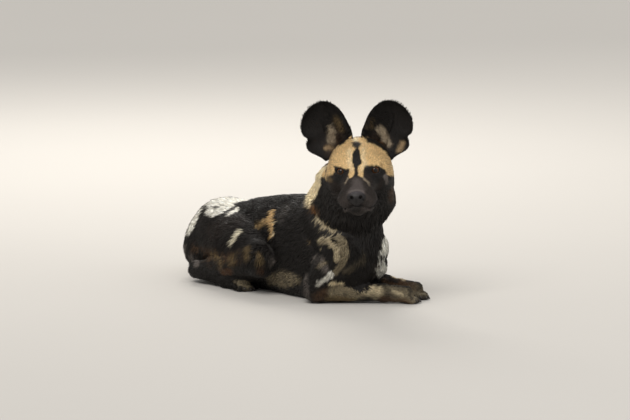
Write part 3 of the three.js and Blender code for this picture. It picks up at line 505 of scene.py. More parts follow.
def closed_mesh(form, low, high, cell, coarse=4, far=1.9):
    """Vertices and quads of the surface of a form, from one vertex in each crossed cell."""
    low, high = np.array(low, float), np.array(high, float)
    count = np.ceil((high - low) / (cell * coarse)).astype(int) * coarse + 1
    rough_axes = [low[k] + np.arange((count[k] - 1) // coarse + 1) * cell * coarse for k in range(3)]
    rough = np.stack(np.meshgrid(*rough_axes, indexing="ij"), -1).reshape(-1, 3)
    values = measured(form, rough).reshape([len(a) for a in rough_axes])
    index = [np.minimum((np.arange(c) + coarse // 2) // coarse, len(a) - 1)
             for c, a in zip(count, rough_axes)]
    grid = values[np.ix_(*index)]
    near = np.argwhere(np.abs(grid) < cell * coarse * far)
    grid[tuple(near.T)] = measured(form, low + near * cell)
    inside = grid < 0
    total = sum(inside[tuple(slice(c, n - 1 + c) for c, n in zip(k, inside.shape))].astype(np.int8)
                for k in CORNERS)
    crossed = (total > 0) & (total < 8)
    where = np.argwhere(crossed)
    number = np.full(crossed.shape, -1)
    number[tuple(where.T)] = np.arange(len(where))
    place = np.zeros((len(where), 3))
    hits = np.zeros(len(where))
    for axis in range(3):
        for k in CORNERS[CORNERS[:, axis] == 0]:
            a, b = where + k, where + k + np.eye(3, dtype=int)[axis]
            va, vb = grid[tuple(a.T)], grid[tuple(b.T)]
            cross = (va < 0) != (vb < 0)
            share = np.where(cross, va / np.where(cross, va - vb, 1), 0)
            place += np.where(cross[:, None], a + share[:, None] * np.eye(3)[axis], 0)
            hits += cross
    vertices = low + place / hits[:, None] * cell
    quads = []
    for axis in range(3):
        u, v = np.eye(3, dtype=int)[(axis + 1) % 3], np.eye(3, dtype=int)[(axis + 2) % 3]
        step = np.eye(3, dtype=int)[axis]
        a = inside[tuple(slice(0, n - s) for n, s in zip(inside.shape, step))]
        b = inside[tuple(slice(s, n) for n, s in zip(inside.shape, step))]
        edge = np.argwhere(a != b)
        edge = edge[((edge - u - v) >= 0).all(1) & (edge < np.array(crossed.shape)).all(1)]
        ring = np.stack([number[tuple((edge + o).T)] for o in (-u - v, -v, 0 * u, -u)], -1)
        out = a[tuple(edge.T)]
        ring[~out] = ring[~out][:, ::-1]
        quads.append(ring)
    return vertices, np.concatenate(quads)


def settled(form, vertices, rounds=3):
    for n in range(rounds):
        d = measured(form, vertices)[:, None]
        if n % 2 == 0:
            ahead = [measured(form, vertices + e)[:, None] - d for e in np.eye(3) * 0.4]
            slope = unit(np.concatenate(ahead, -1))
        vertices = vertices - np.clip(d * slope, -1.5, 1.5)
    return vertices


CELL = 2.0
skin_points, skin_quads = closed_mesh(whole, (-124, -192, -2), (196, 446, 370), CELL)
print("skin:", len(skin_points), "vertices", len(skin_quads), "quads")

# %% Finer faces on the head and feet


def object_from(name, vertices, faces, smooth=True):
    """A mesh object from millimetres."""
    mesh = bpy.data.meshes.new(name)
    faces = np.asarray(faces)
    if faces.ndim == 2:
        size = faces.shape[1]
        mesh.vertices.add(len(vertices))
        mesh.vertices.foreach_set("co", (np.asarray(vertices) * MM).astype(np.float32).ravel())
        mesh.loops.add(faces.size)
        mesh.loops.foreach_set("vertex_index", faces.astype(np.int32).ravel())
        mesh.polygons.add(len(faces))
        mesh.polygons.foreach_set("loop_start", (np.arange(len(faces)) * size).astype(np.int32))
    else:
        mesh.from_pydata([tuple(v) for v in np.asarray(vertices) * MM], [], [tuple(f) for f in faces])
    mesh.update(calc_edges=True)
    if smooth:
        mesh.polygons.foreach_set("use_smooth", np.ones(len(mesh.polygons), bool))
    obj = bpy.data.objects.new(name, mesh)
    bpy.context.scene.collection.objects.link(obj)
    return obj


def coordinates(obj):
    co = np.zeros(len(obj.data.vertices) * 3)
    obj.data.vertices.foreach_get("co", co)
    return co.reshape(-1, 3) / MM


skin = object_from("skin", skin_points, skin_quads)


FACE_BACK, FACE_LOW, FACE_HIGH, FACE_SIDE = -18, -85, 34, 56
ROUND_EYE, ROUND_TOES, TOES_MIDDLE = 22, 26, (0, 6, 0)


def wants_fine(p):
    """The face, and the toes: where a form is smaller than the grid."""
    q = HEAD.inside(p)
    fine = (q[:, 1] < FACE_BACK) & (q[:, 2] > FACE_LOW) & (q[:, 2] < FACE_HIGH)
    fine &= np.abs(q[:, 0]) < FACE_SIDE
    fine |= np.min([np.linalg.norm(q - EYES[e].origin, axis=1) for e in EYES], 0) < ROUND_EYE
    for leg in (*FORELEGS.values(), *HINDLEGS.values()):
        fine |= np.linalg.norm(p - np.array(leg["toes"]) - TOES_MIDDLE, axis=1) < ROUND_TOES
    return fine


def refine(obj, chosen):
    bm = bmesh.new()
    bm.from_mesh(obj.data)
    bm.verts.ensure_lookup_table()
    edges = [e for e in bm.edges if chosen[e.verts[0].index] and chosen[e.verts[1].index]]
    bmesh.ops.subdivide_edges(bm, edges=edges, cuts=1, use_grid_fill=True)
    bmesh.ops.triangulate(bm, faces=[f for f in bm.faces if len(f.verts) > 4])
    bm.to_mesh(obj.data)
    bm.free()
    obj.data.polygons.foreach_set("use_smooth", np.ones(len(obj.data.polygons), bool))


refine(skin, wants_fine(skin_points))
skin_points = settled(whole, coordinates(skin), 4)
skin.data.vertices.foreach_set("co", (skin_points * MM).astype(np.float32).ravel())
ear_starts = {}
for name, s in (("right", -1), ("left", 1)):
    leaf, leaf_quads = ear_leaf(s)
    ear = object_from("ear_skin_" + name, EARS[name].outside(leaf), leaf_quads)
    ear_starts[name] = len(skin.data.vertices)
    with bpy.context.temp_override(active_object=skin, selected_editable_objects=[skin, ear]):
        bpy.ops.object.join()
skin.data.update()
skin_points = coordinates(skin)
skin_normals = np.zeros(len(skin_points) * 3, np.float32)
skin.data.vertex_normals.foreach_get("vector", skin_normals)
skin_normals = skin_normals.reshape(-1, 3).astype(float)
print("finer skin:", len(skin_points), "vertices")

# %% [markdown]
# ## The lie of the coat
# Hair grows in one direction at each place: back along the spine, down the flanks, outward from
# the nose. A short table names the main directions with the hair's length, width, rise off the
# skin and spacing. Every point of the skin takes a mix of the nearest rows, so the coat turns
# smoothly from one direction to the next. The nearest row also tells which part a point is in.

# %% Directions, lengths and spacing
# Length, width, rise and spacing of a tuft, in millimetres.
BACK = (19, 1.9, 3.9, 2.3)
BELLY = (14, 2.0, 3.2, 2.6)
THIGH = (14, 1.8, 2.9, 2.1)
MANE = (24, 2.1, 3.8, 2.3)
THROAT = (24, 2.1, 3.6, 2.4)
CHEST = (14, 1.8, 2.6, 2.1)
ARM = (10, 1.5, 2.6, 1.9)
FOREARM = (8, 1.2, 1.7, 1.6)
PAW = (5, 1.0, 1.1, 1.45)
SHORT_TAIL = (26, 2.2, 6.0, 2.4)
BUSHY_TAIL = (44, 2.8, 13.0, 2.5)
MUZZLE = (3.2, 0.8, 0.5, 1.15)
CHIN = (4.2, 0.9, 0.8, 1.3)
FACE = (4.6, 0.9, 0.8, 1.25)
FOREHEAD = (6.0, 1.0, 1.1, 1.35)
CROWN = (9, 1.3, 2.2, 1.6)
CHEEK = (10, 1.3, 1.7, 1.6)
JAW = (15, 1.6, 2.4, 1.9)
EAR = (5, 0.9, 0.8, 1.4)
EAR_LINING = (13, 1.1, 3.2, 1.5)

# Part, start and end of a line near the hair, its reach, the hair's direction and its kind.
LIE = [
    ("trunk", (-5, 30, 176), (-5, 260, 165), 45, (0, 1, -0.15), BACK),
    ("trunk", (-5, 330, 140), (-5, 385, 70), 45, (0, 0.4, -1), BACK),
    ("trunk", (-66, 40, 110), (-60, 220, 105), 42, (-0.05, 0.85, -0.5), BACK),
    ("trunk", (58, 50, 110), (52, 220, 105), 42, (0.05, 0.85, -0.5), BACK),
    ("trunk", (-56, 60, 45), (-50, 200, 40), 36, (0, 0.9, -0.35), BELLY),
    ("trunk", (50, 60, 45), (45, 200, 40), 36, (0, 0.9, -0.35), BELLY),
    ("neck", (-10, 60, 185), (-12, 0, 225), 38, (0, 0.8, -0.6), MANE),
    ("neck", (-58, -40, 190), (-48, -20, 130), 34, (-0.1, 0.5, -0.85), MANE),
    ("neck", (48, -30, 190), (50, 0, 140), 34, (0.1, 0.5, -0.85), MANE),
    ("neck", (-20, -100, 175), (6, -78, 90), 38, (0.05, 0.05, -1), THROAT),
    ("neck", (5, -66, 74), (5, -54, 44), 27, (0, 0.3, -1), CHEST),
]
for side, s in (("right", -1), ("left", 1)):
    fore, hind = FORELEGS[side], HINDLEGS[side]
    LIE += [
        ("arm_" + side, fore["shoulder"], fore["crook"], 30, (s * 0.1, 0.5, -0.85), ARM),
        ("arm_" + side, fore["crook"], fore["elbow"], 26, (s * 0.1, 0.5, -0.85), ARM),
        ("arm_" + side, fore["elbow"], fore["wrist"], 20, np.subtract(fore["wrist"], fore["elbow"]), FOREARM),
        ("arm_" + side, fore["wrist"], fore["toes"], 17, np.subtract(fore["toes"], fore["wrist"]), PAW),
        ("hind_" + side, hind["hip"], hind["knee"], 46, (s * 0.1, 0.35, -0.95), THIGH),
        ("hind_" + side, (s * 80, 280, 110), (s * 84, 330, 50), 40, (s * 0.1, 0.45, -0.9), THIGH),
        ("hind_" + side, hind["knee"], hind["hock"], 22, (0, 0.9, -0.4), FOREARM),
        ("hind_" + side, hind["hock"], hind["ankle"], 15, np.subtract(hind["ankle"], hind["hock"]), PAW),
        ("hind_" + side, hind["ankle"], hind["toes"], 15, np.subtract(hind["toes"], hind["ankle"]), PAW),
    ]
for n in range(0, 24, 4):
    kind = SHORT_TAIL if n < 4 else BUSHY_TAIL
    LIE.append(("tail", tail_line[n], tail_line[n + 4], 15, tail_line[n + 4] - tail_line[n], kind))

# The same, in the head's own place.
HEAD_LIE = [
    ((0, -100, -24), (0, -62, -12), 15, (0, 1, 0.3), MUZZLE),
    ((0, -100, -66), (0, -60, -72), 15, (0, 1, -0.3), CHIN),
    ((0, -52, 6), (0, -44, 20), 12, (0, 0.5, 0.85), FACE),
    ((0, -30, 36), (0, 0, 54), 16, (0, 0.8, 0.5), FOREHEAD),
    ((0, 20, 58), (0, 45, 42), 26, (0, 1, -0.3), CROWN),
    ((0, 62, 0), (0, 62, -20), 28, (0, 0.4, -1), CROWN),
    ((0, 0, -75), (0, 30, -80), 22, (0, 0.6, -0.8), JAW),
]
for s in (-1, 1):
    HEAD_LIE += [
        ((s * 20, -98, -46), (s * 26, -62, -40), 15, (s * 0.35, 1, -0.1), MUZZLE),
        ((s * 34, -46, -22), (s * 42, -28, -18), 15, (s * 0.5, 1, -0.3), FACE),
        ((s * 22, -38, 28), (s * 32, -18, 36), 14, (s * 0.25, 0.6, 0.75), FOREHEAD),
        ((s * 54, 0, 5), (s * 52, 20, -20), 20, (s * 0.15, 0.9, -0.5), CHEEK),
        ((s * 42, -2, -46), (s * 32, 28, -58), 20, (s * 0.3, 0.7, -0.8), JAW),
    ]
for start, end, reach, way, kind in HEAD_LIE:
    LIE.append(("head", HEAD.outside(start), HEAD.outside(end), reach, HEAD.turned(way), kind))

PARTS = ["trunk", "neck", "head", "tail", "arm_right", "arm_left", "hind_right", "hind_left",
         "ear_right", "ear_left"]


def away_from(points, start, end):
    """Distance to a line, and how far along it the nearest place is."""
    a, axis = np.array(start, float), np.subtract(end, start).astype(float)
    t = np.clip((points - a) @ axis / max(axis @ axis, 1e-9), 0, 1)
    return np.linalg.norm(points - a - t[:, None] * axis, axis=1), t


strength = np.stack([1 / (1e-3 + (away_from(skin_points, a, b)[0] / reach) ** 4)
                     for _, a, b, reach, _, _ in LIE], 1)
part = np.array([PARTS.index(row[0]) for row in LIE])[strength.argmax(1)]
share = strength / strength.sum(1, keepdims=True)
hair_way = share @ np.array([unit(row[4]) for row in LIE])
hair_size = share @ np.array([row[5] for row in LIE])
for name in EARS:
    leafy = np.arange(len(skin_points)) >= ear_starts[name]
    part[leafy] = PARTS.index("ear_" + name)
    hair_way[leafy] = EARS[name].axes[2]
    hair_size[leafy] = EAR
print("skin points in each part:", {n: int((part == k).sum()) for k, n in enumerate(PARTS)})

# %% [markdown]
# ## Markings
# No two of these dogs are marked alike: black, tan, yellow and white lie in blotches with ragged
# edges. Each patch is a short chain of balls that colours the skin inside it. Patches that the
# view shows are named by where they are seen, in picture points, and the ray through each point
# finds its place on the skin. A row of a table names a patch's colour, how soft its edge is, how
# much it covers, and its spots as across, down and radius. Later rows lie over earlier ones.
# The far side, the back and the tail use places on the dog itself, in millimetres.
# Smooth noise bends every edge. The skin carries the colours, and each tuft takes the skin's.
# A few rows paint light and shade into the colours: painted highlights on the shoulder and flank, a painted
# sheen on the chest and painted shade under the nose.

# %% Colours, noise and how a patch is laid on
chance = np.random.default_rng(11)
LATTICE_SIZE = 32
LATTICE = chance.random((LATTICE_SIZE,) * 3 + (3,)) * 2 - 1


def drift(p, size):
    """Smooth noise: three values from -1 to 1 at each point."""
    q = np.asarray(p) / size
    cell = np.floor(q).astype(int)
    f = q - cell
    f = f * f * (3 - 2 * f)
    total = np.zeros((len(q), 3))
    for k in CORNERS:
        i = (cell + k) % LATTICE_SIZE
        total += np.prod(np.where(k, f, 1 - f), -1)[:, None] * LATTICE[i[:, 0], i[:, 1], i[:, 2]]
    return total


def shade(red, green, blue):
    """A colour for the shaders, from the usual 0 to 255."""
    c = np.array((red, green, blue)) / 255
    return np.where(c <= 0.04045, c / 12.92, ((c + 0.055) / 1.055) ** 2.4)


BLACK, SOOT, BROWN = shade(22, 18, 15), shade(38, 30, 25), shade(84, 62, 42)
OLIVE, TAN, GOLD = shade(112, 94, 64), shade(168, 142, 106), shade(218, 186, 134)
CREAM, WHITE, GREY = shade(234, 216, 178), shade(240, 236, 224), shade(112, 104, 98)
MUZZLE_GREY, EAR_HAIR, RUST = shade(88, 80, 77), shade(172, 156, 132), shade(146, 98, 54)
KHAKI, AMBER, PALE = shade(136, 124, 100), shade(206, 172, 122), shade(216, 208, 184)
PICTURE_POINT = FRAME_WIDTH / PICTURE_ACROSS / MM
sight = BVHTree.FromObject(skin, bpy.context.evaluated_depsgraph_get())


def met(px, py):
    """The place on the skin, in millimetres, that is seen at a point of the picture."""
    start = camera.matrix_world.translation
    across = (px - PICTURE_ACROSS / 2) / PICTURE_ACROSS * FRAME_WIDTH
    up = (PICTURE_DOWN / 2 - py) / PICTURE_ACROSS * FRAME_WIDTH
    way = (AIM + right * across + above * up - start).normalized()
    hit = sight.ray_cast(start, way)[0]
    if hit is None:
        steps = [sight.find_nearest(start + way * (VIEW_AWAY + n * 0.02)) for n in range(-20, 21)]
        hit = min(steps, key=lambda found: found[3])[0]
    return np.array(hit) / MM


DEPTH_SHARE = 0.45
VIEW_AXES = np.array([right, above, toward * DEPTH_SHARE])
edge_noise = drift(skin_points, 9) * 2.6 + drift(skin_points, 3.5) * 1.4
seen_points = (skin_points + edge_noise) @ VIEW_AXES.T
body_points = skin_points + drift(skin_points, 26) * 9 + edge_noise
gaps = smoothstep(drift(skin_points, 11)[:, 0] + drift(skin_points, 5)[:, 1] * 0.5, -0.05, 0.3)
markings = np.tile(BLACK, (len(skin_points), 1))


def lay(points, places, colour, soft, share, only, broken=0.0):
    """Colours the points that lie in a chain of balls. A broken patch has gaps in it."""
    inside = np.full(len(points), -1e3)
    for (a, ra), (b, rb) in zip(places, places[1:] or places):
        d, t = away_from(points, a, b)
        inside = np.maximum(inside, ra + t * (rb - ra) - d)
    amount = smoothstep(inside, -soft, soft) * share * (1 - broken * gaps)
    if only:
        amount *= np.isin(part, [k for k, name in enumerate(PARTS) if name.startswith(only)])
    markings[:] += amount[:, None] * (colour - markings)


def seen(colour, *spots, soft=1.2, share=1.0, only=(), broken=0.0):
    """A patch named by picture points: each spot is across, down and radius."""
    places = [(met(x, y) @ VIEW_AXES.T, r * PICTURE_POINT) for x, y, r in spots]
    lay(seen_points, places, colour, soft * PICTURE_POINT, share, only, broken)


def patch(colour, *spots, soft=2.5, share=1.0, only=(), broken=0.0):
    """A patch on the dog itself: each spot is a place and a radius in millimetres."""
    lay(body_points, [(np.array(spot[:3]), spot[3]) for spot in spots], colour, soft, share, only, broken)


def paint(marks, only=()):
    """Lays a table of patches. A row has a colour, a softness, a share and the spots of its chain.

    A last entry of a row may name other parts to colour, or say how broken the patch is.
    """
    for colour, soft, share, *spots in marks:
        options = spots.pop() if isinstance(spots[-1], dict) else {}
        seen(colour, *spots, soft=soft, share=share, **{"only": only, **options})


print("colours ready, one picture point is", round(PICTURE_POINT, 2), "mm")

# %% Head and neck
HEAD_PARTS, EAR_PARTS, NECK_PARTS = ("head",), ("ear",), ("neck", "trunk")
FOREHEAD_MARKS = [
    (SOOT, 1.2, 1, (340, 185, 14), (372, 185, 14), (356, 205, 20)),
    (GOLD, 1.2, 1, (333, 156, 8), (344, 153, 12), (348, 162, 8)),
    (GOLD, 1.2, 1, (368, 153, 12), (380, 157, 10), (387, 164, 7)),
    (GOLD, 1.2, 1, (330, 163, 6), (330, 171, 5), (327, 177, 3)),
    (GOLD, 1.2, 1, (387, 168, 4), (389, 173, 3)),
    (GOLD, 1.2, 1, (390, 163, 6), (391.5, 172, 4)),
    (GOLD, 1.2, 1, (349, 141, 4), (356, 138, 5), (363, 141, 4)),
    (GOLD, 1.2, 1, (336, 163, 3.6), (341, 163, 3)),
    (GOLD, 1.2, 1, (325, 167, 3.4), (324.5, 175, 2.8)),
    (CREAM, 2, 1, (355.5, 137, 4), (355.5, 140, 3)),
    (GOLD, 1, 1, (352, 164, 4), (352.6, 170, 3), (351, 176, 2)),
    (GOLD, 1, 1, (361, 164, 4), (361, 170, 3), (361.5, 175, 2.2)),
    (CREAM, 2.4, 0.6, (350, 150, 2), (349, 160, 2.4), (352.4, 170, 1.4)),
    (CREAM, 2.4, 0.6, (363, 150, 2), (364, 161, 2.4), (361.5, 170, 1.4)),
    (AMBER, 4, 0.5, (349, 144, 3), (345, 148, 3)),
    (AMBER, 4, 0.4, (372, 148, 4), (380, 153, 4)),
    (TAN, 4, 0.55, (334, 152, 5), (328, 160, 4)),
    (CREAM, 2, 0.6, (391, 166, 2), (393, 174, 2)),
]
STRIPE_MARKS = [
    (BLACK, 0.7, 1, (356.8, 145.5, 0.7), (357, 150, 1)),
    (BLACK, 0.8, 1, (356.6, 150, 1.6), (356.5, 156, 4.4), (356.5, 161, 4.6), (356.3, 166, 2.2)),
    (BLACK, 0.8, 0.9, (356.3, 166, 1.6), (356, 179, 1.4)),
]
EYE_MARKS = [
    (BLACK, 1.2, 1, (337, 172, 3), (341, 170.5, 4.6), (346, 172, 3.2), (339, 179, 5)),
    (BLACK, 1.2, 1, (368, 171, 3.4), (376, 170, 5.2), (381, 173, 4.2), (376, 178, 6)),
]
MUZZLE_MARKS = [
    (MUZZLE_GREY, 3, 0.75, (357, 182, 5), (357, 190, 8)),
    (MUZZLE_GREY, 4, 0.3, (343, 202, 4), (345, 209, 4)),
    (MUZZLE_GREY, 4, 0.3, (371, 202, 4), (368, 210, 4)),
    # The black under the nose leather is the muzzle's own black and painted shade under the nose.
    (BLACK, 3, 0.85, (355.5, 203, 8), (354.5, 209, 5)),
    (GREY, 2.5, 0.35, (352, 214, 2.4)),
    (EAR_HAIR, 1, 0.6, (348, 178.5, 1.5), (344.5, 184, 1.4)),
    (EAR_HAIR, 1, 0.6, (363.5, 178, 1.4), (369.5, 184.5, 1.4)),
]
CHEEK_MARKS = [
    (GREY, 1.2, 0.9, (386, 177, 2.6), (386.5, 182, 2.2)),
    (OLIVE, 1.5, 0.8, (328, 178, 2.4), (330, 181, 2.4)),
    (BROWN, 3, 0.6, (392, 188, 3), (390, 198, 4)),
    (CREAM, 1, 0.9, (395, 193, 1.8), (396, 199, 1.8), dict(broken=0.3, only=("head", "neck"))),
]
NECK_MARKS = [
    (CREAM, 1.4, 1, (319, 161, 4), (319, 170, 5), (316, 179, 6.4), (314.5, 187, 7.6), (313, 193, 7.2),
     (310.5, 199, 5.6), (310, 205, 4.2)),
    (CREAM, 1, 1, (320.5, 177, 3), (319, 185, 3.8), (317, 191, 4), dict(only=("neck", "trunk", "head"))),
    (GOLD, 1, 1, (325.5, 162, 3.4), (325.5, 172, 3.2), (324.5, 179, 1.8)),
    (BROWN, 2.4, 0.7, (312, 209, 4), (318, 211, 4.2)),
    (RUST, 2.4, 0.6, (315, 209, 3)),
    # The faint khaki streak across the chest is a painted sheen.
    (KHAKI, 3, 0.35, (345, 270, 4), (362, 257, 3.4), dict(only=("neck", "trunk", "arm"))),
]
paint(FOREHEAD_MARKS + STRIPE_MARKS + EYE_MARKS + MUZZLE_MARKS + CHEEK_MARKS, HEAD_PARTS)
paint(NECK_MARKS, NECK_PARTS)
print("head marked")

# %% Ears
EAR_MARKS = [
    (BLACK, 1.2, 1, (325, 128, 40), (385, 125, 40)),
    (OLIVE, 3, 0.7, (336, 120, 3.4), (342, 128, 4)),
    (EAR_HAIR, 2.4, 1, (331, 130, 4), (332, 140, 4.5)),
    (TAN, 1.6, 0.8, (326, 148, 2.6), (333, 149, 2.4)),
    (OLIVE, 3, 0.7, (371, 121, 3.2), (369, 127, 3.4)),
    (EAR_HAIR, 2, 1, (379, 128, 3), (385, 138, 4), (389, 144, 3)),
    (RUST, 1.8, 0.55, (371, 142, 2.2), (380, 144, 2)),
    (TAN, 2, 0.8, (403, 144, 2.6), (399, 151, 2.6)),
]
paint(EAR_MARKS, EAR_PARTS)
backs = np.zeros(len(skin_points))
for name in EARS:
    backs += (part == PARTS.index("ear_" + name)) * smoothstep(skin_normals @ EARS[name].axes[1], 0, 0.4)
markings += backs[:, None] * (BLACK - markings)
for name in EARS:
    patch(BROWN, (*EARS[name].outside((0, 26, 0)), 20), soft=14, share=0.5, only=("ear_" + name,))
print("ears marked")

# %% The side that is seen
RUMP_MARKS = [
    (WHITE, 1.2, 1, (211, 206, 5), (218, 203, 6.5), (229, 202, 6.4), (248, 199.5, 3.6)),
    (WHITE, 1.2, 1, (209, 212, 4.2), (217, 214, 5), (223, 211, 5), (230, 206, 4)),
    (BLACK, 0.9, 1, (224, 217, 1.2), (229, 211, 1.5), (236, 207, 1.6)),
    (WHITE, 1, 1, (229, 216, 2.4), (237, 210, 3)),
    (WHITE, 1, 1, (212, 207, 3.6), (219, 204, 4), (227, 203, 3.6)),
    (WHITE, 1, 1, (216, 206.5, 3), (219, 206, 2.6)),
    (WHITE, 1, 1, (190, 233, 3), (193, 227, 4), (197, 219, 4), (202, 211, 3.4)),
    (SOOT, 1, 1, (203, 221, 1.4), (207, 213, 1)),
    (SOOT, 6, 0.7, (214, 232, 10), (236, 222, 9)),
]
FLANK_MARKS = [
    (PALE, 1, 1, (231, 244, 2.4), (236, 238, 3.3), (240, 232, 2.4)),
    (AMBER, 1.2, 1, (274, 211, 1.6), (270, 219, 4), (272.5, 230, 2.2), (272.5, 239, 1.2)),
    (CREAM, 1, 0.7, (275, 222, 1), (274, 236, 1)),
    (OLIVE, 2.4, 0.9, (258, 226, 3.4), (265, 223, 3.8)),
    (AMBER, 2.4, 0.5, (259, 227, 2.4), (266, 222, 3)),
    # The faint grey on the upper flank is a painted highlight.
    (GREY, 5, 0.22, (281, 218, 5), (287, 210, 4)),
]
THIGH_MARKS = [
    (BROWN, 5, 0.62, (196, 250, 5), (210, 256, 8), (224, 262, 8), (238, 258, 7), dict(broken=0.9)),
    (OLIVE, 3, 0.8, (214, 254, 4), (221, 264, 4), dict(broken=0.6)),
    (OLIVE, 3, 0.8, (232, 262, 5), (236, 256, 4), dict(broken=0.6)),
    (OLIVE, 3, 0.8, (248, 250, 3), (248, 258, 3)),
    (OLIVE, 2.5, 0.8, (259, 256, 3), (259, 263, 3)),
    (BLACK, 2, 0.8, (228, 268, 2), (240, 266, 2), (252, 268, 2)),
    (RUST, 2.5, 0.3, (224, 272, 3), (232, 271, 2.4)),
    (RUST, 2.5, 0.2, (260, 271, 3)),
    (GREY, 2.5, 0.55, (271, 262, 3.6)),
    (GREY, 2, 0.85, (193, 257, 3.4), (197, 265, 3), dict(broken=0.5)),
    (GREY, 2, 0.6, (187, 246, 2.2), (186, 254, 2)),
]
BELLY_MARKS = [
    (KHAKI, 3, 0.8, (272, 279, 6), (284, 279, 9), (296, 279, 6), dict(broken=0.35)),
]
paint(RUMP_MARKS + FLANK_MARKS + THIGH_MARKS)
paint(BELLY_MARKS, ("trunk",))
print("near side marked")

# %% Shoulder and forelegs
NEAR_LEG, FAR_LEG = ("arm_right",), ("arm_left", "trunk", "neck")
SHOULDER_MARKS = [
    (KHAKI, 1.2, 0.95, (317, 219, 4.2), (325, 227, 5.6), (334, 237, 5.4), (343, 245, 4.6),
     (345, 256, 4), (341, 264, 3.8), (336, 271, 3.6)),
    (CREAM, 0.9, 0.35, (316, 222, 1), (324, 228, 1.2), (331, 233, 1)),
    (BLACK, 0.8, 1, (317, 231, 1.6), (326, 235, 1.8), (336, 241, 1.4)),
    # The cream hook in the shoulder band is a painted highlight.
    (CREAM, 1.2, 0.6, (322, 240, 2.4), (330, 242, 2.8), (337, 250, 2.4), (337, 259, 2.2)),
    (GREY, 3, 0.8, (315, 258, 4), (322, 262, 4.4), (325, 270, 3.4), dict(broken=0.8, only=("arm",))),
    (KHAKI, 1.6, 0.6, (319, 266, 1.8), (326, 262, 1.8), dict(only=("arm",))),
    (OLIVE, 2, 0.5, (310, 241, 2)),
    (WHITE, 1.2, 0.8, (318, 285, 1.6), (324, 279, 2.4), (331, 274, 2)),
    (GREY, 2, 0.6, (307, 276, 2.2), (307, 290, 2.4), (308, 300, 2.4)),
]
NEAR_LEG_MARKS = [
    (KHAKI, 3, 1, (334, 292, 7), (350, 293, 9), (364, 293, 8), (378, 292, 6)),
    (CREAM, 1, 0.9, (330, 283, 2.4), (340, 283.5, 2), (352, 285, 1.6), (366, 286, 1.6)),
    (CREAM, 2.4, 0.55, (362, 290, 3), (371, 289, 4), (379, 290, 3)),
    (SOOT, 1.4, 0.6, (344, 292, 1.2), (346, 298, 1.4)),
    (OLIVE, 2, 0.85, (328, 299, 4), (345, 299, 4.2), (352, 303, 3)),
    (BLACK, 2, 0.85, (358, 301, 3.4), (370, 301, 3.4)),
    (BROWN, 4, 0.8, (324, 292, 4), (318, 298, 5)),
    (KHAKI, 3, 0.85, (386, 290, 4), (396, 294, 7), (410, 298, 8), dict(broken=0.6)),
    (BROWN, 3, 0.8, (382, 299, 3), (396, 301, 3.4), (408, 302, 3)),
    (SOOT, 1.4, 0.7, (390, 295, 1.4), (398, 297, 1.4)),
    (CREAM, 1.4, 0.5, (393, 291, 1.2), (402, 294, 1.2)),
]
FAR_LEG_MARKS = [
    (WHITE, 1.6, 1, (384, 242, 5), (382, 254, 6.5), (379, 263, 7), (382, 272, 6.5)),
    (BLACK, 1, 1, (378, 256, 1.9), (385, 255.5, 2.2)),
    (SOOT, 1.2, 1, (373, 264, 2.6), (380, 262, 2.2)),
    (GREY, 2.5, 0.6, (373, 275, 4)),
    (BROWN, 2, 1, (386, 281, 4), (400, 284, 5), (412, 287, 5), dict(broken=0.4)),
    (SOOT, 2, 1, (388, 279, 2.4), (396, 282, 2.4)),
    (CREAM, 0.9, 0.8, (390, 276, 1.4), (404, 280.4, 1.4)),
    (KHAKI, 3, 0.6, (404, 287, 3.4), (416, 290, 6), (424, 293, 5), dict(broken=0.5)),
]
paint(SHOULDER_MARKS)
paint(NEAR_LEG_MARKS, NEAR_LEG)
paint(FAR_LEG_MARKS, FAR_LEG)
print("forelegs marked")

# %% The far side, the back and the tail
NAPE = [(*HEAD.outside((0, 22, 56)), 16), (*HEAD.outside((0, 48, 34)), 20), (-14, 10, 216, 18),
        (-12, 34, 192, 12)]
patch(TAN, *NAPE, soft=8, share=0.85, only=("head", "neck"), broken=0.3)
patch(BLACK, *[(*spot[:3], 5) for spot in NAPE[:3]], soft=4, only=("head", "neck"))
patch(WHITE, (58, 150, 130, 15), (64, 180, 104, 17), (60, 205, 92, 11))
patch(TAN, (52, 110, 140, 11), (64, 96, 110, 15), (66, 110, 84, 10))
patch(BLACK, (66, 170, 112, 7), (62, 184, 100, 6))
patch(CREAM, (64, 60, 96, 10), (66, 62, 66, 12), (60, 76, 44, 9), only=("trunk", "arm"))
patch(WHITE, (58, 296, 122, 15), (72, 318, 92, 17), (76, 300, 70, 10))
patch(TAN, (86, 250, 84, 13), (92, 232, 56, 12), only=("hind", "trunk"))
patch(BROWN, (84, 188, 70, 16), (92, 160, 60, 12), share=0.75, only=("hind", "trunk"))
patch(OLIVE, (-5, 250, 158, 9), (10, 268, 152, 9), share=0.6)
patch(WHITE, (20, 330, 126, 9), (6, 356, 104, 8))
patch(WHITE, (50, -30, 120, 8), (66, -10, 84, 12), (74, 4, 50, 9), only=("arm_left", "trunk"))
patch(TAN, (80, 0, 22, 12), (88, -14, 30, 7), share=0.8, only=("arm_left",))
patch(WHITE, (92, 296, 30, 13), (88, 250, 20, 12), (84, 224, 14, 12), only=("hind_left",))
patch(WHITE, (84, 196, 14, 12), (80, 172, 8, 14), soft=3, share=0.9, only=("hind_left",))
patch(BLACK, (88, 262, 20, 8), (84, 208, 16, 5), only=("hind_left",))
patch(KHAKI, (-78, 214, 14, 12), (-70, 182, 10, 14), soft=3, share=0.8, only=("hind_right",))
patch(BLACK, (-84, 240, 14, 7), (-76, 205, 14, 5), only=("hind_right",))
patch(TAN, *[(*tail_line[n], r) for n, r in ((2, 20), (5, 24), (7, 22))], soft=6, only=("tail",))
patch(WHITE, *[(*tail_line[n], r) for n, r in ((16, 30), (20, 30), (24, 34))], soft=5, only=("tail",))
print("far side marked; share of the skin darker than mid brown:",
      round(float((markings.mean(1) < 0.1).mean()), 2))

# %% [markdown]
# ## Materials
# Each material is worked out from nodes. The small class below wraps one socket, so that shader
# sums read like ordinary sums. Everything that wears the coat's colours reads them from the
# layer named Markings, and noise varies them from hair to hair.

# %% A socket that can be used in sums


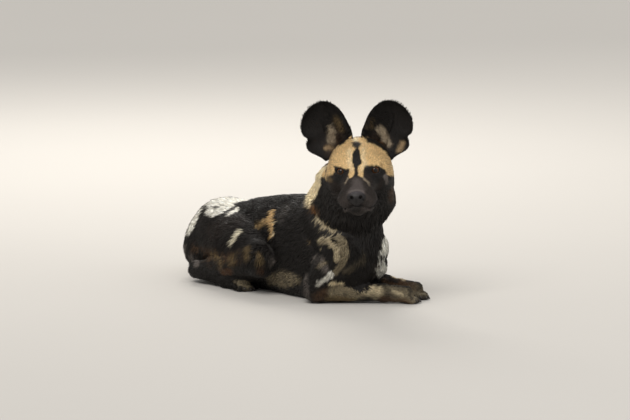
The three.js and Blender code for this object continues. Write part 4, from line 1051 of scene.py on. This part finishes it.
class Wire:
    """One shader socket. Sums with it make the nodes that they need."""

    def __init__(self, tree, socket):
        self.tree, self.socket = tree, socket

    def node(self, kind, settings=None, out=0, **inputs):
        """Any node: its settings first, then a number, colour or wire for each socket."""
        made = self.tree.nodes.new("ShaderNode" + kind)
        for key, value in (settings or {}).items():
            setattr(made, key, value)
        for key, value in inputs.items():
            name = key.replace("_", " ")
            at = made.inputs[int(key[1:])] if key[1:].isdigit() else made.inputs[name]
            if isinstance(value, Wire):
                self.tree.links.new(value.socket, at)
            else:
                at.default_value = value
        return Wire(self.tree, made.outputs[out])

    def combined(self, operation, other):
        several = any(isinstance(w, Wire) and w.socket.type in ("RGBA", "VECTOR") for w in (self, other))
        if several and isinstance(other, (int, float)):
            other = (other,) * 3
        return self.node("VectorMath" if several else "Math", {"operation": operation}, i0=self, i1=other)

    def __add__(self, other):
        return self.combined("ADD", other)

    def __mul__(self, other):
        return self.combined("MULTIPLY", other)


def material(name, roughness, shine):
    """A material, a wire to start from, and its main node."""
    made = bpy.data.materials.new(name)
    made.use_nodes = True
    tree = made.node_tree
    main = tree.nodes["Principled BSDF"]
    main.inputs["Roughness"].default_value = roughness
    main.inputs["Specular IOR Level"].default_value = shine
    place = Wire(tree, tree.nodes.new("ShaderNodeTexCoord").outputs["Object"])
    return made, place, main


def feed(main, socket, wire):
    wire.tree.links.new(wire.socket, main.inputs[socket])


def coat_material(name, roughness, shine, grain, bump=0.0, gain=1.0):
    made, place, main = material(name, roughness, shine)
    colour = place.node("Attribute", {"attribute_name": "Markings"})
    fleck = place.node("TexNoise", Vector=place, Scale=grain, Detail=2.0)
    feed(main, "Base Color", colour * (fleck * (0.5 * gain) + 0.75 * gain))
    feed(main, "Roughness", fleck * 0.2 + (roughness - 0.1))
    if bump:
        strands = place.node("TexNoise", Vector=place, Scale=grain * 2.4, Detail=3.0, Roughness=0.7)
        feed(main, "Normal", place.node("Bump", Height=strands, Strength=bump, Distance=0.0006))
    return made


SKIN_LOOK = coat_material("short coat on the skin", 0.62, 0.3, 500.0, bump=0.6, gain=0.9)
COAT_LOOK = coat_material("coat", 0.55, 0.34, 260.0)
EAR_LOOK = coat_material("ear coat", 0.6, 0.3, 300.0)


def nose_leather():
    made, place, main = material("nose leather", 0.45, 0.28)
    pebbles = place.node("TexVoronoi", {"feature": "SMOOTH_F1"}, Vector=place, Scale=850.0)
    colour = place.node("Attribute", {"attribute_name": "Markings"})
    feed(main, "Base Color", colour * (pebbles * 0.5 + 0.75))
    feed(main, "Roughness", pebbles * 0.25 + 0.38)
    feed(main, "Normal", place.node("Bump", Height=pebbles, Strength=0.55, Distance=0.0005))
    return made


def eye_gloss():
    made, place, main = material("eye", 0.1, 0.2)
    main.inputs["Coat Weight"].default_value = 0.1
    main.inputs["Coat Roughness"].default_value = 0.03
    cloud = place.node("TexNoise", Vector=place, Scale=900.0)
    colour = place.node("Attribute", {"attribute_name": "Markings"})
    feed(main, "Base Color", colour * (cloud * 0.4 + 0.8))
    return made


def claw_horn():
    made, place, main = material("claw horn", 0.35, 0.5)
    grain = place.node("TexNoise", Vector=place, Scale=400.0, Detail=3.0)
    colour = place.node("Attribute", {"attribute_name": "Markings"})
    feed(main, "Base Color", colour * (grain * 0.6 + 0.7))
    feed(main, "Roughness", grain * 0.2 + 0.28)
    return made


def pale_floor():
    made, place, main = material("floor", 0.85, 0.2)
    soft = place.node("TexNoise", Vector=place, Scale=1.5, Detail=2.0)
    tone = place.node("MapRange", i0=soft, To_Min=0.97, To_Max=1.0)
    paper = place.node("CombineXYZ", X=0.55, Y=0.53, Z=0.5)
    feed(main, "Base Color", paper * tone)
    return made


LEATHER, GLOSS, HORN, FLOOR = nose_leather(), eye_gloss(), claw_horn(), pale_floor()
print("materials:", len(bpy.data.materials))


def dress(obj, colours, look, slot, *nodes):
    """Gives a piece its colours, its material and the solids that it replaces. Its slot is not used."""
    layer = obj.data.color_attributes.new("Markings", "FLOAT_COLOR", "POINT")
    values = np.ones((len(obj.data.vertices), 4), np.float32)
    values[:, :3] = np.clip(colours, 0, 1)
    layer.data.foreach_set("color", values.ravel())
    obj.data.materials.append(look)
    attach(obj, "root")
    if nodes:
        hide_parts(*nodes)


# %% [markdown]
# ## Nose, eyes and claws
# The nose leather has comma-shaped nostrils and a groove down its middle. An eyeball is a round
# ball with a raised cornea, set where the solid's eye is and turned a little outward. Each toe
# ends in a short blunt claw.

# %% Nose leather
NOSE_RADII, SEPTUM_RADII = (16.7, 11.8, 11.3), (6, 9, 8)
NOSE = blend(5, ellipsoid((0, -NOSE_REACH + 11, -NOSE_DROP), NOSE_RADII),
             ellipsoid((0, -NOSE_REACH + 11, -NOSE_DROP - 7), SEPTUM_RADII))
# The paler leather colour is a painted highlight along the top of the nose.
LEATHER_DARK, LEATHER_HIGHLIGHT = shade(27, 24, 24), shade(60, 56, 58)
nostrils = blend(
    1.5,
    *both(lambda s: taper((s * 7.4, -119.5, -43), (s * 8.2, -110, -40.5), 2.8, 2.2)),
    *both(lambda s: taper((s * 9, -117.5, -44.5), (s * 15.4, -107, -48), 1.3, 0.8)),
    taper((0, -119, -45.5), (0, -114, -60), 0.8, 0.7),
)


def nose_form(p):
    return -smooth_min(-NOSE(p), nostrils(p), 1.2)


nose_points, nose_faces = closed_mesh(nose_form, (-21, -122, -63), (21, -91, -27), 0.7)
nose_points = settled(nose_form, nose_points)
# Painted shade inside the nostrils: the leather is darkened there.
nostril_shade = smoothstep(-nostrils(nose_points), -2.2, 0.4)
# The top of the nose leather is painted paler as a painted highlight.
rim = smoothstep(nose_points[:, 2], -40, -32)
nose_colour = LEATHER_DARK + rim[:, None] * (LEATHER_HIGHLIGHT - LEATHER_DARK)
nose_colour = nose_colour * (1 - 0.85 * nostril_shade[:, None])
nose = object_from("nose_leather", HEAD.outside(nose_points), nose_faces)
dress(nose, nose_colour, LEATHER, "nose", "nose")
print("nose:", len(nose_faces), "faces")

# %% Eyes
PUPIL, IRIS, RING = 22.0, 39.0, 45.0
CORNEA_RISE, CORNEA_EDGE = 0.75, 46
IRIS_DARK, IRIS_PALE, PUPIL_BLACK = shade(52, 33, 20), shade(92, 60, 34), shade(14, 11, 10)
RIM_BROWN, SCLERA = shade(24, 17, 14), shade(62, 48, 40)


def eyeball(rows=72, columns=96):
    """Rows run from the front of the eye to its back. Angles are from the gaze, in degrees."""
    turnings = np.arange(columns) / columns * 2 * np.pi
    points, angles = [], []
    for j in range(1, rows):
        angle = 180 * (j / rows) ** 1.4
        a = math.radians(angle)
        bulge = CORNEA_RISE * math.cos(min(angle / CORNEA_EDGE, 1) * math.pi / 2) ** 2
        r = EYE_RADIUS - 0.25 + bulge
        ring = np.stack([np.cos(turnings) * math.sin(a), np.full(columns, math.cos(a)),
                         np.sin(turnings) * math.sin(a)], 1) * r
        points.append(ring)
        angles += [angle] * columns
    flat = np.concatenate(points + [[(0, EYE_RADIUS + 0.5, 0), (0, 0.25 - EYE_RADIUS, 0)]])
    at = np.arange((rows - 1) * columns).reshape(rows - 1, columns)
    after = np.roll(at, -1, 1)
    quads = np.stack([at[:-1], at[1:], after[1:], after[:-1]], -1).reshape(-1, 4)
    front, back = len(flat) - 2, len(flat) - 1
    caps = [(front, a, b) for a, b in zip(at[0], after[0])]
    caps += [(back, b, a) for a, b in zip(at[-1], after[-1])]
    return flat, np.array(angles + [0, 180]), [tuple(q) for q in quads] + caps


def eye_colours(points, angle):
    spokes = np.arctan2(points[:, 2], points[:, 0])
    wheel = np.stack([np.cos(spokes) * 9, np.sin(spokes) * 9, angle * 0.05], 1)
    streak = 0.5 + 0.5 * drift(wheel, 1)[:, :1]
    iris = IRIS_DARK + streak * (IRIS_PALE - IRIS_DARK)
    colour = np.tile(PUPIL_BLACK, (len(points), 1))
    colour += smoothstep(angle, PUPIL - 1, PUPIL + 1.5)[:, None] * (iris - colour)
    colour += smoothstep(angle, IRIS - 2, RING)[:, None] * (RIM_BROWN - colour)
    return colour + smoothstep(angle, RING + 2, RING + 12)[:, None] * (SCLERA - colour)


for name in EYES:
    ball, angle, faces = eyeball()
    in_head = EYES[name].outside(ball)
    eye = object_from("eyeball_" + name, HEAD.outside(in_head), np.array(faces, dtype=object))
    dress(eye, eye_colours(ball, angle), GLOSS, "eye", "eye_" + name)
print("eyes:", len(faces), "faces each")

# %% Claws and whiskers


def horn(points, radii, sides=8):
    """A closed bent cone through some points. The last point is its tip."""
    points = np.array(points, float)
    rings = []
    for n, radius in enumerate(radii[:-1]):
        way = unit(points[min(n + 1, len(points) - 1)] - points[max(n - 1, 0)])
        x = unit(np.cross(way, (0.1, 0.2, 1)))
        z = np.cross(x, way)
        turnings = np.arange(sides) / sides * 2 * np.pi
        rings.append(points[n] + radius * (np.cos(turnings)[:, None] * x - np.sin(turnings)[:, None] * z))
    flat = np.concatenate(rings + [points[-1:], points[:1]])
    faces = []
    for n in range(len(rings) - 1):
        for k in range(sides):
            a, b = n * sides + k, n * sides + (k + 1) % sides
            faces += [(a, b, b + sides), (a, b + sides, a + sides)]
    tip, root, last = len(flat) - 2, len(flat) - 1, (len(rings) - 1) * sides
    for k in range(sides):
        faces += [(last + k, last + (k + 1) % sides, tip), ((k + 1) % sides, k, root)]
    return flat, np.array(faces)


def gathered(name, pieces):
    """Several closed shapes as one object."""
    points, faces, count = [], [], 0
    for flat, some in pieces:
        points.append(flat)
        faces.append(some + count)
        count += len(flat)
    return object_from(name, np.concatenate(points), np.concatenate(faces))


CLAW_RADII, WHISKER_RADII, LOWEST_CLAW = (1.7, 1.6, 1.15, 0), (0.26, 0.2, 0), 1.6
# How far ahead of the toe's round end, and how high, a claw's points lie.
CLAW_LINE = [(-3.4, 0.6), (-0.2, 1.0), (2.8, -0.6), (4.6, -3.2)]
claws = []
for leg in (*FORELEGS.values(), *HINDLEGS.values()):
    place = paw_place(leg.get("wrist") or leg["ankle"], leg["toes"])
    for _, (x, y, _) in toe_lines():
        bent = place.outside([(x, y + TOE_RADIUS + ahead, high) for ahead, high in CLAW_LINE])
        bent[:, 2] = np.maximum(bent[:, 2], LOWEST_CLAW)
        claws.append(horn(bent, CLAW_RADII))
claw_set = gathered("claws", claws)
dress(claw_set, np.tile(shade(38, 32, 28), (len(claw_set.data.vertices), 1)), HORN, "claw")

whiskers = []
for s in (-1, 1):
    for n in range(9):
        row, place = divmod(n, 3)
        root = on_skull([(s * 22, -92 + place * 8, -42 - row * 5)])[0]
        way = unit((s * (1.0 + 0.1 * (n % 2)), 0.25 + 0.12 * place, 0.12 - 0.22 * row))
        long = 17 + 3.5 * place
        bend = np.array((0, 0.22, -0.3)) * long
        middle, tip = root + way * long * 0.4 + bend * 0.1, root + way * long + bend * 0.5
        path = [root - way * 1.5, middle, tip]
        whiskers.append(horn(HEAD.outside(path), WHISKER_RADII, 4))
whisker_set = gathered("whiskers", whiskers)
dress(whisker_set, np.tile(shade(30, 26, 24), (len(whisker_set.data.vertices), 1)), COAT_LOOK, "coat")
print("claws:", len(claws), "whiskers:", len(whiskers))

# %% [markdown]
# ## Coat
# The coat is many thin closed tufts. Each stands on the skin, leans along the lie of the hair and
# ends in a point. Short ones have two rings and a tip, long ones three. Clumps come from smooth
# noise that turns neighbouring tufts together. Another layer, named OFBake, places each tuft as a
# small patch at its root's place on an unrolled skin, so that its colours can be baked.

# %% Where tufts stand
FLESH = [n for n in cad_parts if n.split("_")[0] not in ("eye", "nose")]
dress(skin, markings, SKIN_LOOK, "coat", *FLESH)
skin.data.calc_loop_triangles()
triangles = np.zeros(len(skin.data.loop_triangles) * 3, np.int32)
skin.data.loop_triangles.foreach_get("vertices", triangles)
triangles = triangles.reshape(-1, 3)


SOLE_HEIGHT, BARE_ROUND_NOSE, BARE_ROUND_LIPS, BARE_ROUND_EYE = 2.2, 1.2, 0.9, 1.3


def bare_skin():
    """Points with no hair: lids' edges, lips, under the nose leather, soles and the ground side."""
    q = HEAD.inside(skin_points)
    no_hair = (NOSE(q) < BARE_ROUND_NOSE) | (mouth_groove(q) < BARE_ROUND_LIPS)
    for eye in EYES.values():
        at = eye.inside(q)
        no_hair |= (eye_opening(at) < BARE_ROUND_EYE) & (at[:, 1] > 0)
    return (skin_points[:, 2] < SOLE_HEIGHT) | no_hair & (part == PARTS.index("head"))


def sown(part_numbers, seed):
    """Random places on the parts' skin, as many as the spacing asks for."""
    luck = np.random.default_rng(seed)
    chosen = triangles[np.isin(part[triangles[:, 0]], part_numbers) & ~bare[triangles].any(1)]
    a, b, c = (skin_points[chosen[:, k]] for k in range(3))
    area = np.linalg.norm(np.cross(b - a, c - a), axis=1) / 2
    wanted = np.cumsum(area / hair_size[chosen, 3].mean(1) ** 2)
    marks = np.arange(int(wanted[-1])) + luck.random(int(wanted[-1]))
    face = np.minimum(np.searchsorted(wanted, marks), len(chosen) - 1)
    u, v = luck.random(len(face)), luck.random(len(face))
    u, v = np.where(u + v > 1, 1 - u, u), np.where(u + v > 1, 1 - v, v)
    weights = np.stack([1 - u - v, u, v], 1)
    return chosen[face], weights, luck


bare = bare_skin()
longer = np.ones(len(skin_points))
skull_points = HEAD.inside(skin_points)
for eye in EYES.values():
    longer *= 0.35 + 0.65 * smoothstep(np.linalg.norm(skull_points - eye.origin, axis=1), 11, 22)
print("bare points:", int(bare.sum()))

# %% Hair inside the ears
for name, s in (("right", -1), ("left", 1)):
    at = EARS[name].inside(skin_points)
    cup = (part == PARTS.index("ear_" + name)) & (skin_normals @ EARS[name].axes[1] < 0.1)
    tufted = cup * smoothstep(at[:, 2], 62, 40) * smoothstep(-s * at[:, 0], -14, 2)
    sweep = EARS[name].turned((s * 0.9, 0, -0.45))
    hair_way += tufted[:, None] * (sweep - hair_way)
    hair_size += tufted[:, None] * (np.array(EAR_LINING) - hair_size)
print("ears lined")

# %% Unrolled skin
EAR_SHEET, EAR_SHEET_FOOT, TAIL_STEP = (220, 120), 24, 20
UNROLL = {
    "trunk": place_along((-5, 180, 80), (0, 1, 0)),
    "neck": place_along((0, -30, 150), (-0.1, -0.3, 1)),
    "head": Place(HEAD.outside((0, 0, -15)), HEAD.axes),
    "arm_right": place_along((-40, -20, 60), (0.4, -0.5, -0.7)),
    "arm_left": place_along((70, 0, 60), (0.4, -0.4, -0.7)),
    "hind_right": place_along((-70, 240, 50), (0, 1, 0)),
    "hind_left": place_along((70, 240, 50), (0, 1, 0)),
    "tail": place_along((90, 380, 30), (1, 0, 0)),
}


def unrolled():
    """Across and along, from 0 to 1, for each point of the skin within its own part."""
    flat = np.zeros((len(skin_points), 2))
    for k, name in enumerate(PARTS):
        mine = part == k
        if name.startswith("ear"):
            ear = EARS[name.split("_")[1]]
            at = ear.inside(skin_points[mine])
            behind = skin_normals[mine] @ ear.axes[1] > 0
            flat[mine, 0] = 0.25 + at[:, 0] / EAR_SHEET[0] + 0.5 * behind
            flat[mine, 1] = (at[:, 2] + EAR_SHEET_FOOT) / EAR_SHEET[1]
            continue
        if name == "tail":
            gap = np.linalg.norm(skin_points[mine][:, None] - tail_line[None], axis=2).argmin(1)
            at = skin_points[mine] - tail_line[gap]
            way = unit(np.gradient(tail_line, axis=0))[gap]
            x = unit(np.cross(way, (0, 0, 1)))
            y = np.cross(x, way)
            flat[mine, 0] = np.arctan2((at * y).sum(1), (at * x).sum(1)) / (2 * np.pi) + 0.5
            flat[mine, 1] = (gap + 0.5 + (at * way).sum(1) / TAIL_STEP) / (TAIL_POINTS + 1)
            continue
        at = UNROLL[name].inside(skin_points[mine])
        flat[mine, 0] = np.arctan2(at[:, 2], at[:, 0]) / (2 * np.pi) + 0.5
        flat[mine, 1] = (at[:, 1] - at[:, 1].min()) / np.ptp(at[:, 1])
    return np.clip(flat, 0.004, 0.996)


skin_flat = unrolled()
print("unrolled:", np.round(skin_flat.min(0), 3), np.round(skin_flat.max(0), 3))

# %% How a tuft is made
SHORT_RINGS, SHORT_WIDTHS = (0, 0.5), (0.55, 1.0)
LONG_RINGS, LONG_WIDTHS = (0, 0.36, 0.7), (0.5, 1.0, 0.72)
ROOT_DEPTH, TUFT_PATCH, COLOUR_AHEAD = 1.0, 0.0015, 0.6
ROOT_TONE, TIP_TONE, CAP_SHARE = 0.62, 1.12, 0.03
# How far chance moves a tuft's direction, length, rise and curl, and how much clumps change it.
TURN_LUCK, LENGTH_LUCK, RISE_LUCK, CURL_LUCK = 0.1, 0.09, 0.14, 0.07
CLUMP_SIZE, WIDE_SWIRL, FINE_SWIRL = 6, (24, 0.34), (7, 0.16)
MOST_TRIANGLES = 185000
ARM_NUMBERS = [PARTS.index("arm_" + side) for side in FORELEGS]
skin_tree = KDTree(len(skin_points))
for number, place in enumerate(skin_points):
    skin_tree.insert(place, number)
skin_tree.balance()


def tuft_faces(rings):
    faces = [(0, 2, 1)]
    for n in range(rings - 1):
        for k in range(3):
            a, b = n * 3 + k, n * 3 + (k + 1) % 3
            faces += [(a, b, b + 3), (a, b + 3, a + 3)]
    last = (rings - 1) * 3
    faces += [(last + k, last + (k + 1) % 3, rings * 3) for k in range(3)]
    return np.array(faces)


def grow(name, part_names, seed, slot, look, droop):
    """Sows and makes the tufts of some parts, in pieces of at most MOST_TRIANGLES triangles."""
    numbers = [PARTS.index(p) for p in part_names]
    corners, weights, luck = sown(numbers, seed)
    count = len(corners)
    mixed = weights[:, :, None]
    root = (skin_points[corners] * mixed).sum(1)
    up = unit((skin_normals[corners] * mixed).sum(1))
    way = (hair_way[corners] * mixed).sum(1)
    size = (hair_size[corners] * mixed).sum(1)
    way = unit(way - (way * up).sum(1)[:, None] * up)
    side = np.cross(up, way)
    wide, fine = drift(root, WIDE_SWIRL[0])[:, 0], drift(root, FINE_SWIRL[0])[:, 2]
    swirl = wide * WIDE_SWIRL[1] + fine * FINE_SWIRL[1] + luck.normal(0, TURN_LUCK, count)
    way = way * np.cos(swirl)[:, None] + side * np.sin(swirl)[:, None]
    side = np.cross(up, way)
    clump = drift(root, CLUMP_SIZE)[:, 1]
    length = size[:, 0] * longer[corners[:, 0]] * (0.95 + 0.22 * clump + luck.normal(0, LENGTH_LUCK, count))
    rise = size[:, 2] * (0.85 + 0.3 * clump + luck.normal(0, RISE_LUCK, count))
    rise = np.clip(rise, 0.3, size[:, 2] * 1.25)
    width = size[:, 1] * luck.uniform(0.75, 1.2, count)
    stations, widths = (LONG_RINGS, LONG_WIDTHS) if droop else (SHORT_RINGS, SHORT_WIDTHS)
    curl = luck.normal(0, CURL_LUCK, count)
    rings = []
    for s, wide in zip((*stations, 1.0), (*widths, 0.0)):
        lift = -ROOT_DEPTH + (rise + ROOT_DEPTH) * math.sin(s * math.pi / 2) ** 0.8
        middle = root + way * (length * s)[:, None] + up * lift[:, None]
        middle = middle + side * (curl * length * s * s)[:, None]
        middle[:, 2] -= (droop or 0) * length * s * s
        half = (width * wide / 2)[:, None]
        if wide:
            rings += [middle - side * half, middle + side * half, middle + up * half * 0.8]
        else:
            rings += [middle]
    points = np.stack(rings, 1)
    points[:, :, 2] = np.maximum(points[:, :, 2], 0.4 + 0.5 * luck.random((count, 1)))
    tone = np.array([ROOT_TONE] * 3 + [1.0] * 3 * (len(stations) - 1) + [TIP_TONE])
    ahead = root + way * (length * COLOUR_AHEAD)[:, None]
    nearest = np.array([skin_tree.find(place)[1] for place in ahead])
    hangs_over = (part[corners[:, 0]] == PARTS.index("neck")) & np.isin(part[nearest], ARM_NUMBERS)
    nearest = np.where(hangs_over, corners[:, 0], nearest)
    colour = markings[nearest]
    colour = colour * luck.uniform(0.72, 1.3, (count, 1))
    colour = colour[:, None, :] * tone[None, :, None]
    flat = skin_flat[corners[:, 0]]
    tiles = math.ceil(math.sqrt(len(numbers)))
    tile = np.searchsorted(np.sort(numbers), part[corners[:, 0]])
    flat = (flat * 0.98 + 0.01 + np.stack([tile % tiles, tile // tiles], 1)) / tiles
    made = tuft_faces(len(stations))
    order = np.argsort(root[:, 1], kind="stable")
    pieces = math.ceil(count * len(made) / MOST_TRIANGLES)
    for n, chosen in enumerate(np.array_split(order, pieces)):
        label = name if pieces == 1 else f"{name}_{n + 1}"
        piece = tuft_object(label, points[chosen], made, flat[chosen], len(stations))
        dress(piece, colour[chosen].reshape(-1, 3), look, slot)
    print(name, count, "tufts", count * len(made), "triangles in", pieces)
    return count * len(made)


def tuft_object(name, points, made, flat, rings):
    count, each = points.shape[:2]
    faces = (made[None] + (np.arange(count) * each)[:, None, None]).reshape(-1, 3)
    obj = object_from(name, points.reshape(-1, 3), faces)
    turnings = np.arange(3) * 2 * np.pi / 3
    spoke = np.stack([np.cos(turnings), np.sin(turnings)], 1) * TUFT_PATCH
    spread = np.concatenate([spoke * (1 - 0.8 * n / rings) for n in range(rings)] + [np.zeros((1, 2))])
    corner = spread[made]
    corner[0] = spread[0] + (corner[0] - spread[0]) * CAP_SHARE
    layer = obj.data.uv_layers.new(name="OFBake")
    uv = flat[:, None, None, :] + corner[None]
    layer.data.foreach_set("uv", uv.astype(np.float32).ravel())
    return obj


# %% The coat
# Piece, its parts, and how far its hair hangs: none means the short kind of tuft.
COATS = [("trunk", ["trunk"], None), ("neck", ["neck"], 0.05), ("head", ["head"], None),
         ("ears", ["ear_right", "ear_left"], None), ("forelegs", ["arm_right", "arm_left"], None),
         ("hindlegs", ["hind_right", "hind_left"], None), ("tail", ["tail"], 0.08)]
total = 0
for seed, (name, parts, droop) in enumerate(COATS, 1):
    slot, look = ("ear", EAR_LOOK) if name == "ears" else ("coat", COAT_LOOK)
    total += grow("coat_" + name, parts, seed, slot, look, droop)
print("coat:", total, "triangles")

# %% [markdown]
# ## Floor, light and finish
# A pale floor, a broad soft sun from the view's left and above, a weak wide light from its right
# and a third light from behind that draws the edge of the dark coat.

# %% Floor and lights
FLOOR_HALF = 7000
floor = object_from("floor", np.array([(-1, -1, 0), (1, -1, 0), (1, 1, 0), (-1, 1, 0)]) * FLOOR_HALF,
                    np.array([(0, 1, 2, 3)]))
floor.data.materials.append(FLOOR)


CHEST_AIM, SUN_WAY, SUN_SPREAD = (0, 0.05, 0.12), (1.5, 0.75, -1.75), math.radians(32)


def soft_light(name, kind, place, way, power, tint):
    light = bpy.data.lights.new(name, kind)
    light.energy, light.color = power, tint
    obj = bpy.data.objects.new(name, light)
    obj.location = place
    obj.rotation_euler = Vector(way).to_track_quat("-Z", "Y").to_euler()
    bpy.context.scene.collection.objects.link(obj)
    return light


soft_light("key", "SUN", (0, 0, 0), SUN_WAY, 2.15, (1.0, 0.975, 0.94)).angle = SUN_SPREAD
for name, place, size, power, tint in (("fill", (0.6, -2.6, 1.2), 2.2, 12, (0.95, 0.97, 1.0)),
                                       ("rim", (0.9, 1.9, 1.7), 1.2, 34, (1.0, 0.96, 0.9))):
    soft_light(name, "AREA", place, Vector(CHEST_AIM) - Vector(place), power, tint).size = size
world = bpy.data.worlds.new("pale room")
bpy.context.scene.world = world
world.use_nodes = True
world.node_tree.nodes["Background"].inputs["Color"].default_value = (0.93, 0.92, 0.90, 1)
world.node_tree.nodes["Background"].inputs["Strength"].default_value = 0.58
bpy.context.scene.view_settings.view_transform = "Standard"
print("lights set")
